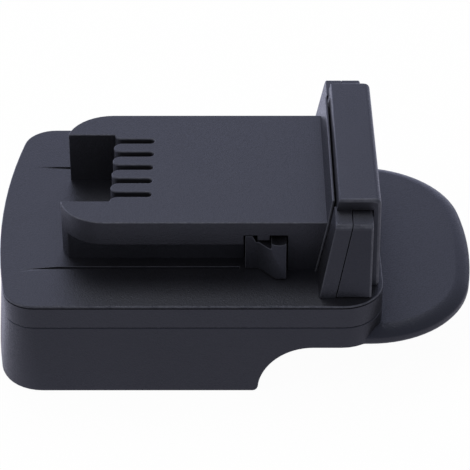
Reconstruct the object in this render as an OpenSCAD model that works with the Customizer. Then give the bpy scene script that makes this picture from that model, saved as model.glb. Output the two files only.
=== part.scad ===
// Battery adapter: a slide-on shoe for a cordless tool on top, a socket for another pack below.
// Frame: +X runs from the bowed front end to the pull tab, +Y to the right seen from the tab,
// +Z is up. The origin is the middle of the underside.

/* [Body] */
// Width of the plate and of the lower housing
body_w = 78.8; // [76:0.1:86]
// Length from the front of the plate to the back of the upper housing
body_l = 94.55; // [92:0.05:104]
// How far the pull tab reaches out behind the upper housing
tab_l = 24; // [18:0.1:30]
// Radius of the bowed front end, seen from above
front_bow_r = 186; // [120:2:400]
// Radius of the two front corners at the plate
front_corner_r = 8; // [5:0.5:11]
// Radius of the two back corners
rear_corner_r = 10; // [6:0.5:12]

/* [Lower housing] */
// Height of the lower housing up to the parting line
lower_h = 19.6; // [19.2:0.1:23]
// Wall around the wiring space
lower_wall = 3; // [2.4:0.1:3.6]
// Height of the battery socket under its roof
socket_h = 13.4; // [12:0.1:13.6]
// Thickness of the socket roof
roof_t = 3.3; // [2.8:0.1:3.6]
// Width between the side walls of the socket
socket_w = 70; // [66:0.5:71]
// Front wall of the socket
socket_front_wall = 4; // [3:0.25:5]
// How far the front leans out towards the bottom
front_flare = 1.45; // [0:0.05:2.5]
// How much rounder the front corners are at the bottom
bottom_corner_extra = 2.8; // [0:0.1:6]
// Rounding of the bottom rim
bottom_edge_r = 0.8; // [0.3:0.1:1.2]
// Length of the side walls at the bottom, before the finger relief
side_wall_l = 64.2; // [58:0.1:68]
// Width of the two guide lips in the socket
lip_w = 4; // [3:0.25:5]
// Height of the guide lips
lip_h = 3.5; // [2.5:0.25:4.5]
// Height of the lips above the underside
lip_z = 2; // [1:0.25:2.5]
// Size of the catch pocket along the slide
catch_l = 6; // [4.5:0.25:8]
// Width of the catch pocket
catch_w = 24; // [16:0.5:32]
// Depth of the catch pocket in the roof
catch_depth = 2; // [1:0.1:2.2]

/* [Pull tab] */
// Width of the pull tab
tab_w = 75; // [70:0.2:76]
// Radius of the rounded corners of the pull tab
tab_corner_r = 26.2; // [20:0.2:30]
// Radius of the bow across the tip of the tab
tab_bow_r = 95; // [70:1:200]
// How far the tab reaches below the roof of the socket
tab_drop = 0.7; // [0:0.1:0.8]
// Width of the slope around the upper edge of the tab
tab_edge_w = 2.3; // [1:0.1:3]
// Height of that slope
tab_edge_h = 2; // [1:0.1:2.4]
// Rounding at the foot of that slope
tab_edge_r = 0.8; // [0.3:0.1:1]
// Rounding around the lower edge of the tab
tab_under_r = 1.2; // [0.3:0.1:1.3]

/* [Upper housing] */
// Height of the skirt of the upper housing, parting line to plate top
cover_h = 6.4; // [6:0.1:8]
// Thickness of the plate
plate_t = 2.5; // [2:0.1:2.8]
// Wall of the skirt
cover_wall = 2.5; // [2:0.1:2.8]
// Rounding of the plate's upper edge
plate_edge_r = 0.4; // [0.3:0.1:1.2]
// Width of the fine line around the skirt under that edge
line_w = 0.4; // [0.2:0.05:0.6]
// Depth of the fine line
line_depth = 0.2; // [0.1:0.05:0.3]
// Height of the locating lip between the two housings
tongue_h = 1.5; // [1:0.1:2]
// Thickness of the locating lip
tongue_t = 1.4; // [1:0.1:1.8]
// Gap between the locating lip and the skirt
tongue_gap = 0.1; // [0.05:0.01:0.2]

/* [Rail] */
// Width of the rail over its flanges
rail_w = 48.8; // [46:0.2:52]
// Height of the rail above the plate
rail_h = 13.9; // [13.2:0.1:15]
// Thickness of the flanges
flange_t = 6.6; // [5:0.1:7.4]
// How far the flanges overhang the web
undercut = 5; // [3:0.1:5.5]
// Distance from the front of the plate to the front of the rail
rail_setback = 16; // [12:0.1:18]
// Radius of the rail's front corners
rail_corner_r = 11.4; // [8:0.1:13]
// Depth of the open bay in the front of the rail
bay_l = 12.1; // [9:0.1:13]
// Number of contact slots
slot_n = 5; // [3:1:5]
// Distance between neighbouring slots
slot_pitch = 6.03; // [5.6:0.01:6.3]
// Width of a slot
slot_w = 2; // [1.6:0.05:2.4]
// Length of a slot behind the bay
slot_l = 10.2; // [8:0.1:11]
// Height of the slot floor above the plate
slot_floor = 3.5; // [2.5:0.1:4.5]
// Thickness of the rail's top over the contact chamber
rail_roof_t = 2.5; // [2:0.1:3]
// Width of the witness groove beside the rail
groove_w = 1; // [0.6:0.1:1.6]
// Depth of the witness groove
groove_depth = 0.5; // [0.3:0.1:0.9]
// Length of the ramp at the front of the groove
groove_ramp = 8; // [4:0.5:12]
// How far the groove's outer side lies inside the side of the rail
groove_inset = 0.3; // [0:0.1:0.6]

/* [Hump] */
// Distance from the front of the plate to the foot of the hump
hump_setback = 78.2; // [76:0.1:80]
// Lean of the hump's front, run over rise
lean = 0.19; // [0.1:0.01:0.22]
// Height of the hump above the plate
hump_h = 22.25; // [21.5:0.05:25]
// Thickness of the front frame
frame_t = 0.6; // [0.5:0.05:0.9]
// Height of the front frame above the plate
frame_h = 19.9; // [18.5:0.1:21]
// How far the front frame stands out beside the rail
frame_side = 0.8; // [0.4:0.1:1.4]
// Width of the frame's cut-off upper corners
frame_cut_w = 1.5; // [1:0.1:4]
// Height of the frame's cut-off upper corners
frame_cut_h = 5.4; // [2:0.1:7]
// Gap between the front frame and the cap
frame_gap = 0.45; // [0.3:0.05:0.8]
// Width of the cap's top
cap_w = 54.1; // [52:0.1:56]
// Height of the shelf over the release buttons, above the plate
shelf_h = 19.3; // [18.5:0.1:19.6]
// Width over the two shelves
shelf_w = 67.6; // [64:0.1:68.5]
// Rounding of the outer upper edges of the strips and buttons
shelf_edge_r = 1.2; // [0.4:0.1:1.6]
// Gap between the buttons and the edges of the cap over them
shelf_gap = 0.15; // [0.1:0.05:0.3]
// Width over the feet of the buttons
foot_w = 72.2; // [69:0.1:73]
// Thickness of the fixed strip in front of each button
strip_t = 3.55; // [3:0.05:4]
// Wall at the back of the cap
cap_wall = 1.8; // [1.5:0.05:2.2]
// Width of the cap's back wall at the plate
cap_foot_w = 61.6; // [58:0.2:64]
// How far the cap stays in front of the back of the upper housing
cap_inset = 1.05; // [0.5:0.05:1.4]
// Rounding of the cap's back edge
cap_edge_r = 1.4; // [0.6:0.1:2]
// Gap between the front frame and the parts of the strips beside it
strip_side_gap = 0.25; // [0.2:0.05:0.5]
// How far a button reaches in under the edge of the cap
button_tuck = 0.8; // [0.6:0.1:1.2]

/* [Latches] */
// Distance from the front of the plate to the latch windows
window_setback = 60.9; // [58:0.1:63]
// Length of a latch window
window_l = 10.55; // [9:0.05:11]
// Height of a latch window
window_h = 10.05; // [9.4:0.05:10.4]
// Width of the finger that hangs into the window
finger_w = 3.1; // [2:0.1:4]
// Length of that finger
finger_h = 1.4; // [0.6:0.1:1.6]
// How far the finger hangs in front of the middle of the window
finger_shift = 0.5; // [0:0.1:1]
// How far a hook stands out of the side of the rail
hook_reach = 4.2; // [3:0.1:4.4]
// How much less the hook stands out at its top
hook_lean = 2; // [0.5:0.1:2.5]
// Length of the hook's blunt nose
hook_nose = 2.6; // [1.5:0.1:4]
// Length of the hook's flush part in front of its ramp
hook_flat = 3.3; // [2:0.1:4]
// Height of the hook under the finger
hook_h = 7.7; // [6:0.1:8.2]
// How much higher the hook is behind the finger
hook_step = 1.3; // [0.4:0.1:1.4]
// Length of the slope from the hook's front part down to the part under the finger
hook_slope = 0.8; // [0.3:0.1:1.4]
// Radius of the scoop in the top of that higher part
scoop_r = 4; // [3:0.25:6]
// Depth of the scoop
scoop_depth = 0.5; // [0.2:0.1:0.8]
// Travel of a latch when its button is pressed
latch_travel = 4.4; // [4.2:0.1:5]
// Gap that is left between an arm and the middle post when its button is pressed home
stop_gap = 1.1; // [0.6:0.1:1.4]
// Distance between the two arms
arm_gap = 31; // [30:0.2:31.4]
// Width of an arm
arm_w = 3.4; // [2.6:0.1:3.6]
// Height of an arm
arm_h = 3.8; // [3:0.1:4.4]
// Gap beside an arm in its tunnel
arm_side_gap = 0.7; // [0.4:0.1:0.8]
// Gap around the moving latches
slide_gap = 0.3; // [0.25:0.01:0.4]

/* [Springs] */
// Diameter of the spring wire
wire_d = 0.55; // [0.4:0.05:0.7]
// Outer diameter of a coil
coil_d = 4.2; // [3.6:0.1:4.4]
// Turns of a spring
coil_turns = 9; // [6:1:11]
// Gap around a spring in its bore
bore_gap = 0.35; // [0.2:0.05:0.5]
// Depth of the spring's bore in the button
bore_depth = 4.8; // [3:0.1:5.5]
// Gap at each end of a spring
spring_end_gap = 0.15; // [0.1:0.01:0.25]

/* [Contacts] */
// Wall between the contact chamber and the side of the web
chamber_wall = 3.2; // [2.8:0.1:3.6]
// Distance from the ends of the slots to the contact chamber
chamber_setback = 1; // [0.6:0.1:1.4]
// Wall between the contact chamber and the latch tunnel
tunnel_wall = 3; // [2:0.1:4]
// Gap around the terminal holder
holder_gap = 0.2; // [0.1:0.05:0.3]
// Length of the holder's block
holder_block_l = 9; // [8.5:0.1:10]
// How far the holder reaches below the top of the plate
holder_drop = 0.5; // [0.2:0.1:0.8]
// Height of the holder's ears above the plate
ear_lift = 0.5; // [0.2:0.1:1]
// Thickness of the holder's ears
ear_t = 2.5; // [2:0.1:3]
// Distance from a boss over an ear to the side of the holder
ear_edge = 1; // [0.6:0.1:1.6]
// Height of a clip above the floor of its slot
clip_lift = 0.5; // [0.3:0.05:0.8]
// Gap on each side of a clip in its slot
clip_side_gap = 0.1; // [0.05:0.01:0.2]
// Distance from the front of the holder to the base of a clip
clip_setback = 0.6; // [0.3:0.1:1]
// Length of a clip's base
clip_base_l = 7; // [6:0.1:7.5]
// Width of a clip's tail
clip_tail_w = 1; // [0.8:0.05:1.2]
// Length of a clip's tail along the slide
clip_tail_l = 2; // [1.6:0.1:2.6]
// How far a clip's tail reaches below its lead
clip_tail_reach = 0.9; // [0.6:0.05:1.1]
// How far the leaves of a clip bend towards each other
leaf_pinch = 0.35; // [0.2:0.01:0.4]
// Thickness of a clip's leaves
leaf_t = 0.4; // [0.3:0.05:0.5]
// Height of a clip
clip_h = 5.2; // [4:0.1:6]
// Length of a clip's leaves
leaf_l = 9.2; // [7:0.1:10]
// Number of battery blades
blade_n = 4; // [2:1:4]
// Distance between neighbouring blades
blade_pitch = 8; // [6:0.1:9]
// Thickness of a blade
blade_t = 0.8; // [0.6:0.05:1.2]
// Height of a blade
blade_h = 5; // [4:0.1:6]
// Length of a blade in the socket
blade_l = 13; // [9:0.25:16]
// Chamfer at the end of a blade
blade_nose = 1.25; // [0.5:0.05:1.6]
// Length of a blade's tail along the slide
blade_tail_l = 3; // [2:0.1:4]
// Height of a blade's tail above the socket roof
blade_tail_h = 3.4; // [3:0.1:3.8]
// Distance from a blade's tail to the back of the block
blade_tail_inset = 2; // [1:0.1:3]
// Distance from a blade's root to the front of the block
blade_root = 2; // [1:0.1:3]
// Height of a blade above the underside of the block
blade_lift = 1.5; // [1:0.1:2]
// Distance from the front of the plate to the terminal block
block_setback = 9; // [8.5:0.1:10]
// Length of the terminal block
block_l = 11.6; // [10:0.1:12.5]
// Width of the block beyond the outer blades
block_side = 5; // [4:0.1:6]
// Height of the block's underside above the table
block_z = 4.5; // [3.5:0.1:5.5]
// Gap around the block in the socket roof
block_gap = 0.2; // [0.1:0.05:0.3]
// Width of the block's flange at the front and the back
block_flange = 2.2; // [1.6:0.1:2.6]
// Width of the flange at the sides, where its screws are
block_ear = 4.4; // [4:0.1:5.5]
// Thickness of the flange
block_flange_t = 1.6; // [1.2:0.1:1.8]
// Gap of a contact in its holder
contact_gap = 0.05; // [0.03:0.01:0.1]

/* [Board and screws] */
// Length of the circuit board
board_l = 40; // [34:0.5:42]
// Width of the circuit board
board_w = 38; // [34:0.5:44]
// Thickness of the circuit board
board_t = 1.6; // [1:0.1:2]
// Height of the posts that carry the board
post_h = 1.7; // [1.2:0.1:1.9]
// Distance from the terminal block's flange to the board
board_setback = 3.4; // [2.4:0.1:4.5]
// Distance from the board's edges to its screws
board_hole_inset = 3.2; // [2.8:0.1:4]
// Diameter of the housing screws
screw_d = 3; // [2.5:0.1:3.4]
// Length of a housing screw with its head
screw_l = 8.6; // [7.5:0.1:9.5]
// Height of a housing screw's head
screw_head_h = 1.7; // [1.4:0.1:2]
// Distance from the housing screws to the sides and the back
boss_inset = 10.5; // [10:0.1:12]
// Distance from the front housing screws to the front
boss_front_inset = 11.5; // [10.5:0.1:13]
// Diameter of a boss for a housing screw
boss_d = 7; // [6.4:0.1:8]
// Diameter of the small screws
small_screw_d = 2; // [1.6:0.1:2.4]
// Height of a small screw's head
small_head_h = 1.3; // [1:0.1:1.5]
// Wall of a boss or post for a small screw
small_boss_wall = 1.8; // [1.2:0.1:2]
// How far a cap screw goes into the cap
cap_screw_l = 8; // [5:0.5:12]
// Distance from a cap screw to the side of the post
cap_screw_inset = 4; // [3:0.1:5]
// Distance from a cap screw to the cap's back wall
cap_screw_back = 3.6; // [3:0.1:5]
// How far a terminal screw goes into its boss
terminal_screw_l = 5; // [3:0.25:6]
// How far a blade screw goes into the socket roof
blade_screw_l = 2; // [1.4:0.1:2.4]
// Room past the end of a screw
hole_end = 0.5; // [0.3:0.1:0.8]
// Gap of a screw in the hole that holds it
screw_gap = 0.05; // [0.03:0.01:0.1]
// Gap of a screw in a hole that it passes through
pass_gap = 0.2; // [0.1:0.05:0.3]

/* [Wiring] */
// Diameter of the two power leads
power_lead_d = 2; // [1.4:0.1:2.2]
// Diameter of the signal leads
signal_lead_d = 1.2; // [0.8:0.1:1.3]
// Depth of the leads below the plate
lead_drop = 2; // [1.6:0.1:2.2]
// Gap between the end of a lead and its contact
lead_gap = 0.1; // [0.05:0.01:0.2]

/* [Hidden] */
$fn = 48;
// A cut runs this far past the face that it opens
over = 1;
// Steps in a rounded corner and in a rounded edge
corner_steps = 9;
bow_steps = 12;
edge_steps = 4;
rim_steps = 2;

// Main levels
tongue_z = lower_h + tongue_h;
plate_z = lower_h + cover_h;
roof_z = socket_h + roof_t;
rail_z = plate_z + rail_h;
frame_z = plate_z + frame_h;
shelf_z = plate_z + shelf_h;
hump_z = plate_z + hump_h;
ceiling_z = plate_z - plate_t;

// Main stations along the slide
front_x = -(body_l + tab_l - front_flare) / 2;
rear_x = front_x + body_l;
tip_x = rear_x + tab_l;
rail_x = front_x + rail_setback;
land_x = rail_x + bay_l;
slot_end_x = land_x + slot_l;
hump_x = front_x + hump_setback;
window_x = front_x + window_setback;
window_end_x = window_x + window_l;
finger_x = window_x + (window_l - finger_w) / 2 - finger_shift;
relief_x = front_x + side_wall_l;
cap_rear_x = rear_x - cap_inset;
cap_inner_x = cap_rear_x - cap_wall;

// Half widths
body_y = body_w / 2;
rail_y = rail_w / 2;
web_y = rail_y - undercut;
frame_y = rail_y + frame_side;
bay_y = slot_n * slot_pitch / 2;
land_r = (slot_pitch - slot_w) / 2;

// Contact chamber inside the rail
chamber_y = web_y - chamber_wall;
chamber_x = slot_end_x + chamber_setback;
chamber_end_x = window_x - tunnel_wall;
chamber_z = rail_z - rail_roof_t;

// Latch tunnel under the back of the rail
arm_y = arm_gap / 2;
tunnel_y = arm_y + arm_w + arm_side_gap;
tunnel_h = window_h + slide_gap;
post_y = arm_y - latch_travel - stop_gap;
cap_off = frame_t + frame_gap;
button_off = cap_off + strip_t + slide_gap;
button_y = cap_w / 2 - button_tuck;
button_angle = atan((foot_w - shelf_w) / 2 / shelf_h);

// Springs between the post and the buttons
spring_z = plate_z + shelf_h / 2;
spring_x = (lean_x(spring_z) + button_off + cap_inner_x - slide_gap) / 2;
spring_bore_r = coil_d / 2 + bore_gap;

// A coil of round wire between the post and the bottom of a button's bore
coil_rings = 8;
coil_sides = 6;
coil_r = (coil_d - wire_d) / 2;
coil_y0 = post_y + wire_d / 2 + spring_end_gap;
coil_y1 = button_y + bore_depth - wire_d / 2 - spring_end_gap;
coil_count = coil_turns * coil_rings;
coil_path = [for (k = [0 : coil_count])
    [spring_x + coil_r * cos(360 * k / coil_rings), coil_y0 + (coil_y1 - coil_y0) * k / coil_count,
     spring_z + coil_r * sin(360 * k / coil_rings)]];
coil_steps = [for (k = [0 : coil_count - coil_rings]) norm(coil_path[k + coil_rings] - coil_path[k])];
coil_gap = min(coil_steps) - wire_d;
echo(spring_gap_mm = coil_gap);

// Screws; a head and the hexagon in it are shares of the screw
head_share = 0.95;
drive_share = 0.5;
drive_depth_share = 0.6;
boss_front = [front_x + boss_front_inset, body_y - boss_inset];
boss_rear = [rear_x - boss_inset, body_y - boss_inset];
screw_r = screw_d / 2;
screw_head_r = screw_d * head_share;
small_r = small_screw_d / 2;
small_head_r = small_screw_d * head_share;
small_boss_r = small_r + small_boss_wall;
cap_screw_x = cap_inner_x - cap_screw_back;
cap_screw_y = post_y - cap_screw_inset;

// Terminal holder under the roof of the contact chamber
holder_x = chamber_x + holder_gap;
holder_y = chamber_y - holder_gap;
holder_floor_z = plate_z - holder_drop;
holder_top_z = chamber_z - holder_gap;
ear_z = plate_z + ear_lift;
ear_x = (holder_x + holder_block_l + chamber_end_x) / 2;
ear_y = holder_y - small_boss_r - ear_edge;

// Clips; the leaves are closest at this share of their length
pinch_share = 0.75;
clip_z = plate_z + slot_floor + clip_lift;
clip_w = slot_w - 2 * clip_side_gap;
clip_base_x = holder_x + clip_setback;
clip_back_x = clip_base_x + clip_base_l;
clip_tail_x = clip_back_x - clip_tail_l;
lead_z = ceiling_z - lead_drop;
clip_tail_z = lead_z - clip_tail_reach;

// Battery terminal block in the front of the socket
block_x = front_x + block_setback;
block_back_x = block_x + block_l;
block_y = (blade_n - 1) * blade_pitch / 2 + block_side;
block_top_z = roof_z + block_flange_t;
blade_z = block_z + blade_lift;
blade_root_x = block_x + blade_root;
blade_end_x = block_back_x + blade_l;
blade_tail_x = block_back_x - blade_tail_inset - blade_tail_l;
blade_tail_z = roof_z + blade_tail_h;
blade_screw_x = block_x + block_l / 2;
blade_screw_y = block_y + block_ear / 2;

// Board behind the terminal block
board_x = block_back_x + block_flange + board_setback;
board_z = roof_z + post_h;
board_top_z = board_z + board_t;

// Parts on the board: the size of each, and its place on the board
chip_size = [9, 6, 1.5];
chip_place = [24.8, -5];
resistor_size = [6, 3.2, 1.2];
resistor_place = [24.8, 4];
diode_size = [4.5, 2.6, 2];
diode_place = [3, -1.3];

// Route of a power lead: way along X, share of its move sideways, share of its climb
power_route = [[0, 0, 0], [2.5, 0, 0], [5.5, 0, 0.75], [9, 0.1, 1], [14, 0.6, 1], [20, 1, 1]];
// Routes of the signal leads: way along X from a contact, and climb or share of the climb
blade_route = [[0, 0], [2, 0], [3.7, 0.5], [5.4, 0]];
clip_route = [[-6, 0], [-6, 0.5], [-5, 0.85], [-3, 1], [0, 1]];

// Lean of the hump: the place of its front face at a height
function lean_x(z) = hump_x + lean * (z - plate_z);

// Outer side of the strips and buttons at a height
function side_y(z) = (foot_w - (foot_w - shelf_w) * (z - plate_z) / shelf_h) / 2;

// Middle of a contact slot, and of a battery blade
function slot_y(k) = bay_y - (k + 0.5) * slot_pitch;
function blade_y(k) = ((blade_n - 1) / 2 - k) * blade_pitch;

// Points of an arc
function arc(c, r, a0, a1, n) =
    [for (k = [0 : n]) c + r * [cos(a0 + (a1 - a0) * k / n), sin(a0 + (a1 - a0) * k / n)]];

// The same points in reverse order, mirrored across the X axis
function mirrored(pts) = [for (k = [len(pts) - 1 : -1 : 0]) [pts[k][0], -pts[k][1]]];

// Outline of the body: bowed front, round corners, straight sides
function body_pts(inset = 0, flare = 0, extra = 0) =
    let (
        corner = front_corner_r + extra,
        bow_x = front_x - flare + front_bow_r,
        corner_y = body_y - corner,
        reach = front_bow_r - corner,
        corner_x = bow_x - sqrt(reach * reach - corner_y * corner_y),
        half_angle = asin(corner_y / reach),
        back = [rear_x - rear_corner_r, body_y - rear_corner_r],
        upper = concat(
            arc(back, rear_corner_r - inset, 0, 90, corner_steps),
            arc([corner_x, corner_y], corner - inset, 90, 180 - half_angle, corner_steps),
            [for (k = [1 : bow_steps / 2])
                let (a = half_angle * (1 - 2 * k / bow_steps))
                [bow_x - (front_bow_r - inset) * cos(a), (front_bow_r - inset) * sin(a)]]
        )
    )
    concat(upper, mirrored([for (k = [0 : len(upper) - 2]) upper[k]]));

// Outline of the pull tab: two round corners and a shallow bow between them
function tab_pts(inset = 0) =
    let (
        corner_y = tab_w / 2 - tab_corner_r,
        reach = tab_bow_r - tab_corner_r,
        bow_x = tip_x - tab_bow_r,
        corner_x = bow_x + sqrt(reach * reach - corner_y * corner_y),
        half_angle = asin(corner_y / reach),
        root_x = min(corner_x, rear_x) - rear_corner_r,
        lower = concat(
            [[root_x, inset - tab_w / 2]],
            arc([corner_x, -corner_y], tab_corner_r - inset, -90, -half_angle, 2 * corner_steps),
            [for (k = [1 : bow_steps / 2])
                let (a = half_angle * (2 * k / bow_steps - 1))
                [bow_x + (tab_bow_r - inset) * cos(a), (tab_bow_r - inset) * sin(a)]]
        )
    )
    concat(lower, mirrored([for (k = [0 : len(lower) - 2]) lower[k]]));

// Outline of the rail: round front corners, the open bay and the round-nosed lands
function rail_pts(end_x) =
    let (
        corner = [rail_x + rail_corner_r, rail_y - rail_corner_r],
        cut_angle = 180 - asin(max(-1, min(1, (bay_y - corner[1]) / rail_corner_r))),
        lands = [for (k = [0 : slot_n])
            let (
                y = bay_y - k * slot_pitch,
                a0 = k == 0 ? 180 : 90,
                a1 = k == slot_n ? 180 : 270
            )
            each arc([land_x + land_r, y], land_r, a0, a1, corner_steps)]
    )
    concat(
        [[end_x, -rail_y], [end_x, rail_y]],
        arc(corner, rail_corner_r, 90, cut_angle, corner_steps),
        lands,
        mirrored(arc(corner, rail_corner_r, 90, cut_angle, corner_steps))
    );

// A ring of points at one height
function ring(pts, z) = [for (p = pts) [p[0], p[1], z]];

// A closed skin through rings that have the same number of points
module loft(rings) {
    n = len(rings[0]);
    m = len(rings);
    sides = [for (j = [0 : m - 2]) for (i = [0 : n - 1])
        let (a = j * n + i, b = j * n + (i + 1) % n)
        each [[a, a + n, b + n], [a, b + n, b]]];
    bottom = [for (i = [0 : n - 1]) i];
    top = [for (i = [n - 1 : -1 : 0]) (m - 1) * n + i];
    polyhedron(points = [for (r = rings) each r], faces = concat([bottom], sides, [top]), convexity = 6);
}

// A tube along a list of points, with square ends
function tube_ring(path, k, r, sides) =
    let (
        last = len(path) - 1,
        along = path[min(k + 1, last)] - path[max(k - 1, 0)],
        t = along / norm(along),
        u0 = cross(t, [0, 1, 0]),
        u = u0 / norm(u0),
        v = cross(t, u)
    )
    [for (i = [0 : sides - 1]) path[k] + r * (cos(360 * i / sides) * u + sin(360 * i / sides) * v)];

module tube(path, d, sides = 8) {
    loft([for (k = [len(path) - 1 : -1 : 0]) tube_ring(path, k, d / 2, sides)]);
}

// A flat shape in X and Z, drawn out along Y
module across(y0, y1) {
    translate([0, y1, 0]) rotate([90, 0, 0]) linear_extrude(y1 - y0) children();
}

// A flat shape in Y and Z, drawn out along X
module along(x0, x1) {
    translate([x0, 0, 0]) rotate([90, 0, 90]) linear_extrude(x1 - x0) children();
}

// A box between two corners
module box(a, b) {
    translate(a) cube(b - a);
}

// Both sides of the body
module both_sides() {
    children();
    mirror([0, 1, 0]) children();
}

// A slab that leans with the hump's front, between two distances behind it
module leaning(off0, off1, z0, z1, y0, y1) {
    across(y0, y1) polygon([
        [lean_x(z0) + off0, z0], [lean_x(z0) + off1, z0], [lean_x(z1) + off1, z1], [lean_x(z1) + off0, z1]
    ]);
}

// Half of the flared sides with their rounded upper edge, from a plane near the middle outwards
module flared_side(x0, x1, y0, z0) {
    edge = [side_y(shelf_z) - shelf_edge_r, shelf_z - shelf_edge_r];
    along(x0, x1) polygon(concat(
        [[y0, z0], [side_y(z0), z0]],
        arc(edge, shelf_edge_r, button_angle, 90, edge_steps),
        [[y0, shelf_z]]
    ));
}

// A screw that points up, with a hexagon socket in its head
module screw(r, l, head_r, head_h) {
    difference() {
        union() {
            cylinder(h = head_h, r = head_r);
            translate([0, 0, head_h]) cylinder(h = l, r = r);
        }
        translate([0, 0, -over])
            cylinder(h = over + head_h * drive_depth_share, r = head_r * drive_share, $fn = 6);
    }
}

// The four housing screws' places
module at_bosses() {
    both_sides() {
        translate([boss_front[0], boss_front[1], 0]) children();
        translate([boss_rear[0], boss_rear[1], 0]) children();
    }
}

// The four corners of the board where it is screwed down
module at_board_posts() {
    both_sides() {
        translate([board_x + board_hole_inset, board_w / 2 - board_hole_inset, 0]) children();
        translate([board_x + board_l - board_hole_inset, board_w / 2 - board_hole_inset, 0]) children();
    }
}

// The two ears of the terminal block where it is screwed down
module at_blade_screws() {
    both_sides() translate([blade_screw_x, blade_screw_y, 0]) children();
}

// Skirt and plate as a solid, with a rounded upper edge and a fine line under it
module cover_skin() {
    edge_z = plate_z - plate_edge_r;
    line = [ring(body_pts(), edge_z - line_w), ring(body_pts(line_depth), edge_z - line_w / 2)];
    rounding = [for (k = [0 : edge_steps])
        let (a = 90 * k / edge_steps)
        ring(body_pts(plate_edge_r * (1 - cos(a))), edge_z + plate_edge_r * sin(a))];
    loft(concat([ring(body_pts(), lower_h)], line, rounding));
}

// T-shaped rail with its bay and slots; its back end leans with the frame that it runs into
module rail_block() {
    end_x = lean_x(rail_z) + frame_t;
    difference() {
        translate([0, 0, ceiling_z]) linear_extrude(rail_h + plate_t) polygon(rail_pts(end_x));
        leaning(frame_t / 2, end_x - lean_x(ceiling_z) + over,
            ceiling_z - over, rail_z + over, -body_y, body_y);
        both_sides() box([rail_x - over, web_y, plate_z], [window_x, rail_y + over, rail_z - flange_t]);
        for (k = [0 : slot_n - 1])
            box([land_x - over, slot_y(k) - slot_w / 2, plate_z + slot_floor],
                [slot_end_x, slot_y(k) + slot_w / 2, rail_z + over]);
    }
}

// Thin leaning frame in front of the hump, with cut-off upper corners
module front_frame() {
    cut_y = frame_y - frame_cut_w;
    cut_z = frame_z - frame_cut_h;
    intersection() {
        leaning(0, frame_t, ceiling_z, frame_z, -frame_y, frame_y);
        along(lean_x(ceiling_z) - over, lean_x(frame_z) + frame_t + over) polygon([
            [-frame_y, ceiling_z], [frame_y, ceiling_z], [frame_y, cut_z],
            [cut_y, frame_z], [-cut_y, frame_z], [-frame_y, cut_z]
        ]);
    }
}

// Chamber for the contacts, open downwards, with a way into each slot
module contact_chamber() {
    box([chamber_x, -chamber_y, lower_h - over], [chamber_end_x, chamber_y, chamber_z]);
    for (k = [0 : slot_n - 1])
        box([slot_end_x - over, slot_y(k) - slot_w / 2, plate_z + slot_floor],
            [chamber_x + over, slot_y(k) + slot_w / 2, chamber_z - over]);
}

// Space for the latch arms and the two windows for their hooks
module latch_space() {
    box([window_x, -tunnel_y, plate_z],
        [lean_x(plate_z + tunnel_h) + frame_t + over, tunnel_y, plate_z + tunnel_h]);
    both_sides() box([window_x, tunnel_y - over, plate_z],
        [window_end_x, rail_y + over, plate_z + window_h]);
}

// Finger that hangs into a latch window from the flange above it
module window_finger() {
    box([finger_x, rail_y - undercut / 2, plate_z + window_h - finger_h],
        [finger_x + finger_w, rail_y, plate_z + window_h + over]);
}

// Shallow groove in the plate beside the rail, with a ramp at its front
module witness_groove() {
    start = front_x + rail_setback / 2;
    y1 = rail_y - groove_inset;
    across(y1 - groove_w, y1) polygon([
        [start, plate_z], [start + groove_ramp, plate_z - groove_depth],
        [window_x - over, plate_z - groove_depth], [window_x - over, plate_z + over], [start, plate_z + over]
    ]);
}

module upper_housing() {
    color([0.16, 0.16, 0.18]) {
        difference() {
            union() {
                difference() {
                    cover_skin();
                    translate([0, 0, lower_h - over]) linear_extrude(ceiling_z - lower_h + over)
                        polygon(body_pts(cover_wall));
                }
                rail_block();
                front_frame();
                at_bosses() translate([0, 0, roof_z])
                    cylinder(h = ceiling_z + plate_t / 2 - roof_z, d = boss_d);
            }
            contact_chamber();
            latch_space();
            both_sides() witness_groove();
            at_bosses() translate([0, 0, roof_z - over])
                cylinder(h = over + screw_l + hole_end - roof_t, r = screw_r + screw_gap);
            both_sides() translate([cap_screw_x, cap_screw_y, ceiling_z - over])
                cylinder(h = plate_t + 2 * over, r = small_r + screw_gap);
        }
        both_sides() window_finger();
        both_sides() translate([ear_x, ear_y, ear_z + ear_t]) difference() {
            cylinder(h = chamber_z - ear_z - ear_t + over, r = small_boss_r);
            translate([0, 0, -over])
                cylinder(h = over + terminal_screw_l + hole_end, r = small_r + screw_gap);
        }
    }
}

// Walls of the lower housing as a solid, leaning out to the bottom of the front
module lower_skin() {
    rim = [for (k = [0 : rim_steps])
        let (a = 90 * k / rim_steps, inset = bottom_edge_r * (1 - sin(a)))
        ring(body_pts(inset, front_flare, bottom_corner_extra), bottom_edge_r * (1 - cos(a)))];
    loft(concat(rim, [ring(body_pts(), lower_h)]));
}

// Pull tab, a little thicker than the socket roof, with a slope around its upper edge that turns
// tangentially into the upright rim
module pull_tab() {
    under_z = socket_h - tab_drop;
    foot_z = roof_z - tab_edge_h;
    run = tab_edge_w - tab_edge_r;
    turn = atan2(run, tab_edge_h) + asin(tab_edge_r / norm([run, tab_edge_h]));
    under = [for (k = [0 : edge_steps])
        let (a = 90 * k / edge_steps)
        ring(tab_pts(tab_under_r * (1 - sin(a))), under_z + tab_under_r * (1 - cos(a)))];
    foot = [for (k = [0 : edge_steps])
        let (a = turn * k / edge_steps)
        ring(tab_pts(tab_edge_r * (1 - cos(a))), foot_z + tab_edge_r * sin(a))];
    loft(concat(under, foot, [ring(tab_pts(tab_edge_w), roof_z)]));
}

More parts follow.
